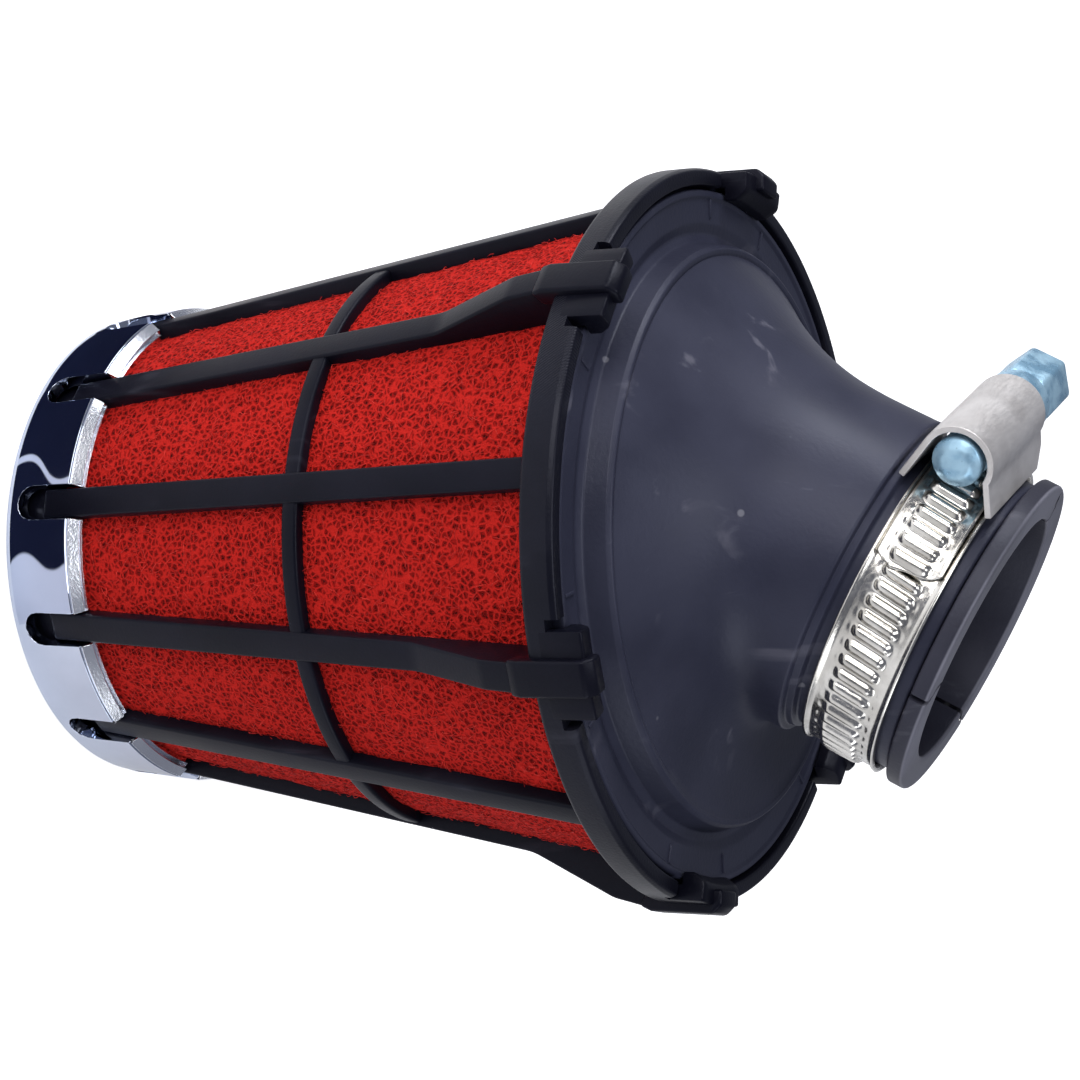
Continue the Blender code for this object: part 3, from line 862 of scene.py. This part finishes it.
def makeStrands(finish):
    # loose ends of the foam's cells: short bent three-sided threads that lie on the surface
    spec = strandSpec
    bm = bmesh.new()
    made = 0
    while made < spec["count"]:
        height = random.uniform(foamSpec["low"] + 1, foamSpec["high"] - 2)
        angle = random.uniform(0, 2 * math.pi)
        if random.random() > ribRadius(height) / ribRadius(foamSpec["high"]):
            continue
        made += 1
        radius = ribRadius(height) - foamSpec["inset"] - 0.05
        out = Vector((math.cos(angle), math.sin(angle), 0))
        side = Vector((-out.y, out.x, 0))
        heading = random.uniform(0, 2 * math.pi)
        along = side * math.cos(heading) + Vector((0, 0, 1)) * math.sin(heading)
        across = out.cross(along)
        length = spec["length"] * random.uniform(0.5, 1.15)
        rise = random.uniform(0.1, 0.42)
        bend = random.uniform(-0.45, 0.45)
        start = Vector((radius * out.x, radius * out.y, height))
        rings = []
        for share in (0.0, 0.35, 0.7, 1.0):
            lift = math.sin(math.pi * share * random.uniform(0.7, 1.0)) * rise
            centre = start + along * length * (share - 0.5) + across * bend * share * share + out * lift
            thick = spec["radius"] * (1.0 if share < 1 else 0.4)
            ring = []
            for corner in range(3):
                turn = 2 * math.pi * corner / 3
                arm = across * math.cos(turn) + out * math.sin(turn)
                ring.append(bm.verts.new(centre + arm * thick))
            rings.append(ring)
        for first, second in zip(rings, rings[1:]):
            for corner in range(3):
                after = (corner + 1) % 3
                bm.faces.new((first[corner], first[after], second[after], second[corner]))
        bm.faces.new(rings[0][::-1])
        bm.faces.new(rings[-1])
    piece = finishPiece("foamThreads", bm, finish, "filter", sharpAngle=None)


def makeFoamDisc(finish):
    low, high = cadSpan("foam_end_disc")
    path = filletPath([(0, high.z, 0), (high.x, high.z, 0.6), (high.x, low.z, 0.6), (0, low.z, 0)])
    piece = finishPiece("foamDisc", spinPath(path, 96), finish, "filter", ["foam_end_disc"])


# ---- rubber boot
bootSpec = {
    "flangeRadius": 46.2,
    "flangeLow": 91.3,
    "moatRadius": 41.4,
    "moatDrop": 0.7,
    "bead": 0.25,
    "domeRadius": 37.3,
    "domeHeight": 96.6,
    "wall": 2.6,
    "collarDistance": 11.0,
    "collarRadius": 22.5,
    "collarWidth": 1.2,
    "neckRadius": 20.6,
    "boreRadius": 18.75,
    "neckLength": 27.0,
    "power": 3.0,
    "segments": 160,
    "steps": 36,
    "innerSteps": 12,
    "ribFrom": 42.0,
    "ribTo": 45.0,
    "ribWidth": 0.45,
    "ribTurn": math.radians(11),
}


def levelCircle(radius, height):
    return Matrix.Translation((0, 0, height)), radius


def neckCircle(radius, distance):
    return neckFrame @ Matrix.Translation((0, 0, distance)), radius


def trumpetCircle(share, inwards=0.0, sink=0.0):
    # between the dome's edge and the neck's collar
    spec = bootSpec
    begin = Vector((0, 0, spec["domeHeight"]))
    turnEnd = Matrix.Rotation(neckTilt, 4, "Y")
    end = neckPivot + turnEnd @ Vector((0, 0, spec["collarDistance"]))
    pull = (end - begin).length
    square = share * share
    cube = square * share
    centre = (2 * cube - 3 * square + 1) * begin + (cube - 2 * square + share) * Vector((0, 0, pull))
    centre += (3 * square - 2 * cube) * end + (cube - square) * (turnEnd @ Vector((0, 0, pull)))
    turn = Matrix.Rotation(neckTilt * share, 4, "Y")
    flare = (1 - share) ** spec["power"]
    radius = spec["collarRadius"] + (spec["domeRadius"] - spec["collarRadius"]) * flare
    return Matrix.Translation(centre) @ turn @ Matrix.Translation((0, 0, -sink)), radius - inwards


def loftCircles(circles, segments):
    # the last circle is joined to the first
    bm = bmesh.new()
    loops = []
    for matrix, radius in circles:
        before = set(bm.edges)
        bmesh.ops.create_circle(bm, segments=segments, radius=radius, matrix=matrix)
        loops.append([edge for edge in bm.edges if edge not in before])
    for first, second in zip(loops, loops[1:] + loops[:1]):
        bmesh.ops.bridge_loops(bm, edges=first + second)
    return bm


def makeBoot(finish):
    spec = bootSpec
    top = layout["flangeTop"]
    rim, moat, bead = spec["flangeRadius"], spec["moatRadius"], spec["bead"]
    dome, domeHeight = spec["domeRadius"], spec["domeHeight"]
    flange = filletPath([
        (rim, spec["flangeLow"], 0),
        (rim, top + bead, 0.45),
        (rim - 0.9, top + bead, 0.4),
        (rim - 1.3, top - 0.1, 0.4),
        (moat + 0.4, top - 0.15, 1.6),
        (moat - 1.0, top - spec["moatDrop"], 0.7),
        (dome + 2.0, top - 0.1, 0.6),
        (dome + 1.35, domeHeight - 0.4, 0.5),
        (dome + 0.9, domeHeight + 0.25, 0.35),
        (dome + 0.3, domeHeight + 0.15, 0.3),
        (dome, domeHeight, 0),
    ], 5, False)
    collarRadius, neckRadius, bore = spec["collarRadius"], spec["neckRadius"], spec["boreRadius"]
    collarLow, neckEnd = spec["collarDistance"], spec["neckLength"]
    collarHigh = collarLow + spec["collarWidth"]
    neck = filletPath([
        (collarRadius, collarLow + 0.1, 0),
        (collarRadius + 0.05, collarHigh, 0.45),
        (neckRadius + 0.9, collarHigh + 0.15, 0.25),
        (neckRadius + 0.75, collarHigh + 1.1, 0.3),
        (neckRadius, collarHigh + 1.5, 0.4),
        (neckRadius, neckEnd, 0.4),
        (bore, neckEnd, 0.3),
        (bore, collarLow + 1, 0),
    ], 4, False)
    circles = [levelCircle(*point) for point in flange[:-1]]
    circles += [trumpetCircle(step / spec["steps"]) for step in range(spec["steps"] + 1)]
    circles += [neckCircle(*point) for point in neck]
    wall = spec["wall"]
    for step in range(spec["innerSteps"], -1, -1):
        share = step / spec["innerSteps"]
        thickness = wall + (collarRadius - bore - wall) * share
        circles.append(trumpetCircle(share, thickness, wall / 2))
    circles.append(levelCircle(dome - wall, spec["flangeLow"]))
    bm = loftCircles(circles, spec["segments"])
    finishPiece("rubberBoot", bm, finish, "filter", ["neck_boot"])


def makeFlangeRibs(finish):
    # two thin ribs on the flange beside each hook
    spec = bootSpec
    top = layout["flangeTop"]
    inner, outer = spec["ribFrom"], spec["ribTo"]
    outline = [(inner, top - 0.3), (outer, top - 0.3), (outer, top + 0.2), (inner + 0.6, top + 0.1)]
    angles = [angle + side * spec["ribTurn"] for angle in ribAngles(1) for side in (-1, 1)]
    bm = bmesh.new()
    addCopies(bm, slab(outline, spec["ribWidth"], 0.12, 2), radialPlaces(angles))
    finishPiece("bootFlangeRibs", bm, finish, "filter")


# ---- slotted sleeve
sleeveSpec = {
    "bore": 17.25,
    "body": 18.45,
    "outer": 22.0,
    "flangeLow": 27.3,
    "flangeHigh": 29.7,
    "length": 22.0,
    "uncut": 4.0,
    "slit": 0.7,
    "slitTurn": math.radians(30),
    "slitCount": 3,
    "jog": 1.3,
    "boreEdge": 0.45,
    "faceSteps": 7,
}


def makeSleeve(finish):
    spec = sleeveSpec
    bore, body, outer = spec["bore"], spec["body"], spec["outer"]
    flangeLow, flangeHigh = spec["flangeLow"], spec["flangeHigh"]
    low = flangeLow - spec["length"]
    split = low + spec["uncut"]
    outerSide = filletPath([
        (outer - 0.9, flangeHigh, 0), (outer, flangeHigh, 0.45),
        (outer, flangeLow, 0.35), (outer - 1.2, flangeLow, 0),
    ], 4, False)
    profile = outerSide[1:-1] + [
        (body + 0.4, flangeLow), (body, flangeLow - 0.3), (body, split), (bore, split),
        (bore, flangeHigh - 0.4), (bore + 0.12, flangeHigh - 0.12),
    ]
    faceStart = bore + spec["boreEdge"]
    faceWidth = outer - 0.5 - bore - spec["boreEdge"]
    for step in range(spec["faceSteps"]):
        profile.append((faceStart + faceWidth * step / spec["faceSteps"], flangeHigh))
    step = 2 * math.pi / spec["slitCount"]
    gap = spec["slit"] / 20
    bm = bmesh.new()
    for number in range(spec["slitCount"]):
        begin = spec["slitTurn"] + number * step + gap / 2
        addCopies(bm, spinPath(profile, 48, start=begin, angle=step - gap))
    # The slits run in, step sideways and run on.
    middle = (bore + outer) / 2
    for vert in bm.verts:
        radius = math.hypot(vert.co.x, vert.co.y)
        share = min(max((radius - middle + 0.35) / 0.7, 0), 1)
        turn = (share - 0.5) * spec["jog"] / middle
        vert.co = Matrix.Rotation(turn, 3, "Z") @ vert.co
    whole = filletPath([(body, split, 0), (body, low, 0.4), (bore, low, 0.3), (bore, split, 0)], 3)
    addCopies(bm, spinPath(whole, 144))
    bmesh.ops.transform(bm, verts=bm.verts, matrix=neckFrame)
    finishPiece("slottedSleeve", bm, finish, "sleeve", ["reducing_sleeve"])


# ---- hose clamp
clampSpec = {
    "bandMiddle": 20.15,
    "bandRadius": 21.4,
    "tailRadius": 22.2,
    "sheet": 0.55,
    "bandWidth": 10.1,
    "tailWidth": 8.7,
    "bandEdgeRise": 0.42,
    "tailEdgeRise": 0.12,
    "edgeWidth": 0.7,
    "ridges": 63,
    "ridgeLength": 5.6,
    "ridgeWidth": 0.84,
    "ridgeRise": 0.66,
    "ridgeSlant": 0.10,
    "hollowDepth": 0.22,  # a small dip at each end of a ridge
    "hollowReach": 0.22,
    "hollowWidth": 0.5,
    "columnsPerRidge": 12,
    "rows": 30,
    "tailStart": math.radians(128),
    "tailEnd": math.radians(236),
    "endReach": math.radians(14),
    "endRound": math.radians(3.2),
    "endSkew": math.radians(1.4),
}
bandFrame = neckFrame @ Matrix.Translation((0, 0, clampSpec["bandMiddle"]))


def ridgeHeight(along, across):
    # along is measured in ridge pitches and across in millimetres from the strip's middle
    spec = clampSpec
    pitch = 2 * math.pi * spec["bandRadius"] / spec["ridges"]
    halfLength = spec["ridgeLength"] / 2
    offset = (along - math.floor(along) - 0.5) * pitch - across * spec["ridgeSlant"]
    offset = (offset + pitch / 2) % pitch - pitch / 2
    reach = max(abs(across) - (halfLength - spec["ridgeWidth"]), 0)
    distance = math.hypot(offset, reach) / spec["ridgeWidth"]
    rise = spec["ridgeRise"] * max(0.0, 1 - distance ** 2.4)
    beyond = (abs(across) - halfLength - 0.15) / spec["hollowReach"]
    beside = offset / spec["hollowWidth"]
    return rise - spec["hollowDepth"] * math.exp(-beyond ** 2) * math.exp(-beside ** 2)


def stripMesh(radius, width, start, end, edgeRise):
    spec = clampSpec
    share = (end - start) / (2 * math.pi)
    columns = round(spec["ridges"] * spec["columnsPerRidge"] * share)
    path = [(radius, -width / 2 + width * row / spec["rows"]) for row in range(spec["rows"] + 1)]
    bm = spinPath(path, columns, closed=False, start=start, angle=end - start)
    for vert in bm.verts:
        angle = math.atan2(vert.co.y, vert.co.x) - clampTurn
        across = vert.co.z
        lift = ridgeHeight(angle / (2 * math.pi) * spec["ridges"], across)
        border = (abs(across) - width / 2 + spec["edgeWidth"]) / spec["edgeWidth"]
        if border > 0:
            lift += edgeRise * math.sin(math.pi / 2 * border)
        factor = (radius + lift) / radius
        vert.co.x *= factor
        vert.co.y *= factor
    bmesh.ops.transform(bm, verts=bm.verts, matrix=bandFrame)
    return bm


def makeStrip(name, bm, finish, body, node):
    # the strip's faces are turned to look away from the neck's axis
    bmesh.ops.recalc_face_normals(bm, faces=bm.faces)
    bm.normal_update()
    bm.faces.ensure_lookup_table()
    face = bm.faces[len(bm.faces) // 2]
    away = face.calc_center_median() - bandFrame.translation
    turnOutwards(bm, face, away - neckAxis * away.dot(neckAxis))
    finishSheet(name, bm, finish, body, "nickel_steel", node, clampSpec["sheet"])


def makeBand(finish):
    spec = clampSpec
    loop = stripMesh(spec["bandRadius"], spec["bandWidth"], 0, 2 * math.pi, spec["bandEdgeRise"])
    makeStrip("clampLoop", loop, finish, "clamp", "clamp_band")


def makeTail(finish):
    # the free end is cut on the skew, with round corners
    spec = clampSpec
    start, end, width = spec["tailStart"], spec["tailEnd"], spec["tailWidth"]
    tail = stripMesh(spec["tailRadius"], width, start, end, spec["tailEdgeRise"])
    toBand = bandFrame.inverted()
    for vert in tail.verts:
        local = toBand @ vert.co
        angle = math.atan2(local.y, local.x) % (2 * math.pi)
        near = max(0.0, (angle - end + spec["endReach"]) / spec["endReach"])
        if near:
            edge = abs(local.z) / (width / 2)
            shift = -near * (spec["endRound"] * edge ** 4 + spec["endSkew"] * local.z / width)
            vert.co = bandFrame @ (Matrix.Rotation(shift, 3, "Z") @ local)
    makeStrip("clampTail", tail, finish, "band_tail", "clamp_band_tail")


housingSpec = {
    "archRadius": 4.9,
    "archStart": -8,
    "archSweep": 176,
    "sheet": 0.85,
    "front": 9.0,
    "back": -11.0,
    "foot": 20.95,
    "nearReach": 6.7,  # foot on the sleeve's side
    "farReach": 6.3,  # foot on the cage's side
    "archSteps": 20,
    "legSteps": 5,
    "lengthSteps": 24,
    "cut": 2.2,
    "cutStart": 0.45,
    "cutLength": 8.0,
    "softEdge": 0.16,
}


def makeHousing(finish):
    # local axes of the clamp's side: x away from the neck, y towards the screw's tip, z along the neck
    spec = housingSpec
    radius, foot, back = spec["archRadius"], spec["foot"], spec["back"]
    legSteps = spec["legSteps"]
    arch = []
    for step in range(spec["archSteps"] + 1):
        angle = math.radians(spec["archStart"] + spec["archSweep"] * step / spec["archSteps"])
        arch.append(Vector((screwAxisRadius + radius * math.sin(angle), radius * math.cos(angle))))
    nearFoot = Vector((foot, spec["nearReach"]))
    farFoot = Vector((foot, -spec["farReach"]))
    path = [nearFoot.lerp(arch[0], step / legSteps) for step in range(legSteps)] + arch
    path += [arch[-1].lerp(farFoot, (step + 1) / legSteps) for step in range(legSteps)]
    bm = bmesh.new()
    verts = [bm.verts.new((point.x, back, point.y)) for point in path]
    moving = [bm.edges.new(pair) for pair in zip(verts, verts[1:])]
    stretch = (spec["front"] - back) / spec["lengthSteps"]
    for step in range(spec["lengthSteps"]):
        grown = bmesh.ops.extrude_edge_only(bm, edges=moving)["geom"]
        tops = [part for part in grown if isinstance(part, bmesh.types.BMVert)]
        moving = [part for part in grown if isinstance(part, bmesh.types.BMEdge)]
        bmesh.ops.translate(bm, verts=tops, vec=(0, stretch, 0))
    # Rear corners are cut on the skew: the feet stop short of the back edge.
    for vert in bm.verts:
        drop = (screwAxisRadius - vert.co.x) / (screwAxisRadius - foot)
        toBack = max(0.0, 1 - (vert.co.y - back) / spec["cutLength"])
        cutShare = max(0.0, drop - spec["cutStart"]) / (1 - spec["cutStart"])
        vert.co.y += spec["cut"] * cutShare * toBack
    bmesh.ops.recalc_face_normals(bm, faces=bm.faces)
    bm.normal_update()
    topFace = max(bm.faces, key=lambda face: face.calc_center_median().x)
    turnOutwards(bm, topFace, Vector((1, 0, 0)))
    bmesh.ops.transform(bm, verts=bm.verts, matrix=clampFrame)
    piece = finishSheet(
        "clampHousing", bm, finish, "clamp", "nickel_steel", "clamp_housing", spec["sheet"],
        use_even_offset=True,
    )
    addSoftEdges(piece, spec["softEdge"], 50)


screwSpec = {
    "radius": 3.3,
    "core": 2.75,
    "tip": 9.0,
    "collarFront": -11.3,
    "collar": 3.0,
    "collarRadius": 4.4,
    "hexFlats": 8.0,
    "hexLength": 8.5,
    "pitch": 2.2,
    "stepsPerTurn": 28,
    "toothRoot": 0.62,  # half widths of the thread's tooth
    "toothCrest": 0.28,
}


def screwThread():
    # one tooth profile swept round the core while it climbs
    spec = screwSpec
    bm = bmesh.new()
    low = spec["collarFront"] + 1.2
    root, crest = spec["core"] - 0.2, spec["radius"] - 0.1
    halfRoot, halfCrest = spec["toothRoot"], spec["toothCrest"]
    tooth = [(root, -halfRoot), (crest, -halfCrest), (crest, halfCrest), (root, halfRoot)]
    corners = [bm.verts.new((x, 0, low + z)) for x, z in tooth]
    edges = [bm.edges.new(pair) for pair in zip(corners, corners[1:] + corners[:1])]
    turns = (spec["tip"] - 2.4 - low) / spec["pitch"]
    made = bmesh.ops.spin(
        bm, geom=corners + edges, cent=(0, 0, 0), axis=(0, 0, 1), angle=2 * math.pi * turns,
        steps=round(turns * spec["stepsPerTurn"]), dvec=(0, 0, spec["pitch"] / spec["stepsPerTurn"]),
        use_merge=False,
    )
    closeEnds(bm, edges, made)
    return bm


def screwHead():
    # a hexagon with its edges rounded, a chamfered end and a shallow hollow in it
    spec = screwSpec
    bm = bmesh.new()
    corner = spec["hexFlats"] / math.sqrt(3)
    high = spec["collarFront"] - spec["collar"] + 0.4
    low = spec["collarFront"] - spec["collar"] - spec["hexLength"]
    bmesh.ops.create_cone(
        bm, cap_ends=True, segments=6, radius1=corner, radius2=corner, depth=high - low,
        matrix=Matrix.Translation((0, 0, (high + low) / 2)),
    )
    endFaces = [face for face in bm.faces if face.normal.z < -0.9]
    bmesh.ops.inset_region(bm, faces=endFaces, thickness=0.7, depth=0.55)
    roundEdges(bm, list(bm.edges), 0.4, 3)
    endFaces = [face for face in bm.faces if face.normal.z < -0.9]
    bmesh.ops.inset_region(bm, faces=endFaces, thickness=1.3, depth=-0.5)
    return bm


def makeScrew(finish):
    spec = screwSpec
    radius, core, tip, flats = spec["radius"], spec["core"], spec["tip"], spec["hexFlats"]
    collarRadius, front = spec["collarRadius"], spec["collarFront"]
    rear = front - spec["collar"]
    shape = filletPath([
        (0, tip + 0.75, 0),
        (radius * 0.6, tip + 0.55, 1.4),
        (radius, tip - 0.4, 0.7),
        (radius, tip - 1.6, 0),
        (core, tip - 1.9, 0),
        (core, front + 0.4, 0),
        (collarRadius - 0.3, front, 0),
        (collarRadius, front - 0.3, 0.3),
        (collarRadius, rear, 0.5),
        (flats / 2 - 0.4, rear - 0.2, 0),
        (0, rear - 0.2, 0),
    ], 5, False)
    bm = spinPath(shape, 64, closed=False)
    addCopies(bm, screwThread())
    addCopies(bm, screwHead())
    local = Matrix.Translation((screwAxisRadius, 0, 0)) @ Matrix.Rotation(math.radians(-90), 4, "X")
    bmesh.ops.transform(bm, verts=bm.verts, matrix=clampFrame @ local)
    finishPiece("wormScrew", bm, finish, "screw", ["clamp_screw"], sharpAngle=38)


# ---- studio
cameraSpec = {
    "place": (-0.1104, -0.3434, 0.2572),
    "right": (0.15597, 0.44018, 0.88426),
    "up": (-0.94988, 0.31238, 0.01204),
    "lens": 98.7,
    "sensor": 36.0,
}


def makeCamera():
    spec = cameraSpec
    right = Vector(spec["right"]).normalized()
    up = Vector(spec["up"])
    up = (up - right * up.dot(right)).normalized()
    turn = Matrix((right, up, right.cross(up))).transposed().to_4x4()
    data = bpy.data.cameras.new("camera")
    data.lens = spec["lens"]
    data.sensor_width = spec["sensor"]
    data.clip_start = 0.01
    camera = addObject("camera", data)
    camera.matrix_world = Matrix.Translation(spec["place"]) @ turn
    bpy.context.scene.camera = camera


lightSpec = [
    # name, place, aim, size, watts, colour
    ("keyBox", (-0.62, -0.42, 0.36), (0, 0, 0.06), 0.45, 3.5, (1.0, 0.98, 0.96)),
    ("neckBox", (-0.10, -0.30, 0.85), (0, 0, 0.08), 0.40, 2.4, (0.97, 0.98, 1.0)),
    ("lowBox", (0.55, -0.45, 0.25), (0, 0, 0.06), 0.40, 1.4, (0.95, 0.97, 1.0)),
    ("rimBox", (-0.66, 0.20, 0.36), (0, 0, 0.10), 0.30, 3.2, (0.97, 0.98, 1.0)),
]


def makeLights():
    for name, place, aim, size, watts, colour in lightSpec:
        data = bpy.data.lights.new(name, "AREA")
        data.shape = "SQUARE"
        data.size = size
        data.energy = watts
        data.color = colour
        light = addObject(name, data)
        light.location = place
        light.rotation_euler = (Vector(aim) - Vector(place)).to_track_quat("-Z", "Y").to_euler()


worldSpec = {
    "light": (0.17, 0.18, 0.22),
    "backdrop": (0.97, 0.97, 0.98),
}


def makeWorld():
    world = bpy.data.worlds.new("studio")
    bpy.context.scene.world = world
    world.use_nodes = True
    board = NodeBoard(world.node_tree)
    background = world.node_tree.nodes["Background"]
    seen = board.add("ShaderNodeLightPath").outputs["Is Camera Ray"]
    board.feed(background, "Color", board.mix(seen, worldSpec["light"], worldSpec["backdrop"]))
    board.feed(background, "Strength", 1.0)


def addStage(name, bm, finish, unseenBy=()):
    mesh = bpy.data.meshes.new(name)
    bm.to_mesh(mesh)
    bm.free()
    mesh.materials.append(finish)
    stage = addObject(name, mesh)
    for ray in unseenBy:
        setattr(stage, "visible_" + ray, False)


floorSpec = {
    "size": 6.0,
    "dark": (0.80, 0.80, 0.81),
    "light": (0.83, 0.83, 0.84),
    "glow": 0.22,
    "seenGlow": 0.80,
}


def makeFloor():
    spec = floorSpec
    finish, board, shader, place = newFinish("floorPaper", Roughness=0.9, Specular_IOR_Level=0.0)
    board.paint(shader, board.noise(place, 400.0, 2.0), spec["dark"], spec["light"])
    seen = board.add("ShaderNodeLightPath").outputs["Is Camera Ray"]
    board.feed(shader, "Emission Color", (1, 1, 1, 1))
    board.feed(shader, "Emission Strength", board.ramp(seen, spec["glow"], spec["seenGlow"], smooth=False))
    bm = bmesh.new()
    bmesh.ops.create_grid(bm, x_segments=2, y_segments=2, size=spec["size"])
    addStage("floor", bm, finish)


cardSpec = {
    "start": math.radians(158),
    "sweep": math.radians(114),
    "near": 0.0340,
    "far": 0.0466,
    "lift": 0.0003,
    "wave": 0.045,
    "wavePitch": 0.0115,
    "lineAngle": math.radians(231),
    "lineHalf": 0.022,
    "edgeAngle": math.radians(256),
    "dark": (0.012, 0.015, 0.035),
    "light": (0.80, 0.82, 0.88),
}


def makeCard():
    # a dark studio card round the cap's foot, seen only in reflections, gives the chrome its dark zone
    spec = cardSpec
    finish, board, shader, place = newFinish("cardBlack", Roughness=1.0, Specular_IOR_Level=0.0)
    axes = board.add("ShaderNodeSeparateXYZ", {0: place}).outputs
    around = board.math("FLOORED_MODULO", board.math("ARCTAN2", axes["Y"], axes["X"]), 2 * math.pi)
    radius = board.add("ShaderNodeVectorMath", {0: place}, operation="LENGTH").outputs["Value"]
    inwards = board.times(board.math("SUBTRACT", radius, spec["near"]), 2 * math.pi / spec["wavePitch"])
    lean = board.plus(around, board.times(board.math("SINE", inwards), spec["wave"]))
    line = board.math("ABSOLUTE", board.math("SUBTRACT", lean, spec["lineAngle"]))
    bright = board.ramp(line, 1.0, 0.0, spec["lineHalf"] * 0.5, spec["lineHalf"])
    beyond = board.ramp(lean, 0.0, 1.0, spec["edgeAngle"], spec["edgeAngle"] + 0.02)
    board.paint(shader, board.math("MAXIMUM", bright, beyond), spec["dark"], spec["light"])
    path = [(spec["near"], spec["lift"]), (spec["far"], spec["lift"])]
    bm = spinPath(path, 60, closed=False, start=spec["start"], angle=spec["sweep"])
    addStage("darkCard", bm, finish, ["camera", "diffuse", "shadow", "transmission"])


# ---- put it together
print("materials")
plastic = makePlastic()
ringPlastic = makeRingPlastic()
rubber = makeRubber()
sleeveRubber = makeSleeveRubber(neckPivot.dot(neckAxis) + sleeveSpec["flangeHigh"])
chrome = makeChrome(capSpec["rimStart"])
steel = makeSteel("bandSteel", bandSteelSpec)
housingSteel = makeSteel("housingSteel", housingSteelSpec)
zinc = makeZinc()
redFoam = makeFoam("redFoam", redFoamSpec)
greyFoam = makeFoam("greyFoam", greyFoamSpec)
redThread = makeThreadFinish()

print("cap and cage")
makeCap(chrome)
makeRibs(plastic)
makeHoops(plastic)
makeLargeRing(ringPlastic)

print("foam")
makeFoamCone("foamCone", redFoam, "foam_outer", foamSpec)
makeStrands(redThread)
makeFoamDisc(redFoam)
makeFoamCone("foamLiner", greyFoam, "foam_inner", linerSpec)
basketMaterials = frame["nodes"]["support_basket"].data.materials
basketMaterials.clear()
basketMaterials.append(plastic)

print("boot and sleeve")
makeBoot(rubber)
makeFlangeRibs(rubber)
makeSleeve(sleeveRubber)

print("clamp")
makeBand(steel)
makeTail(steel)
makeHousing(housingSteel)
makeScrew(zinc)

print("studio")
makeCamera()
makeLights()
makeWorld()
makeFloor()
makeCard()
bpy.context.scene.view_settings.view_transform = "Standard"
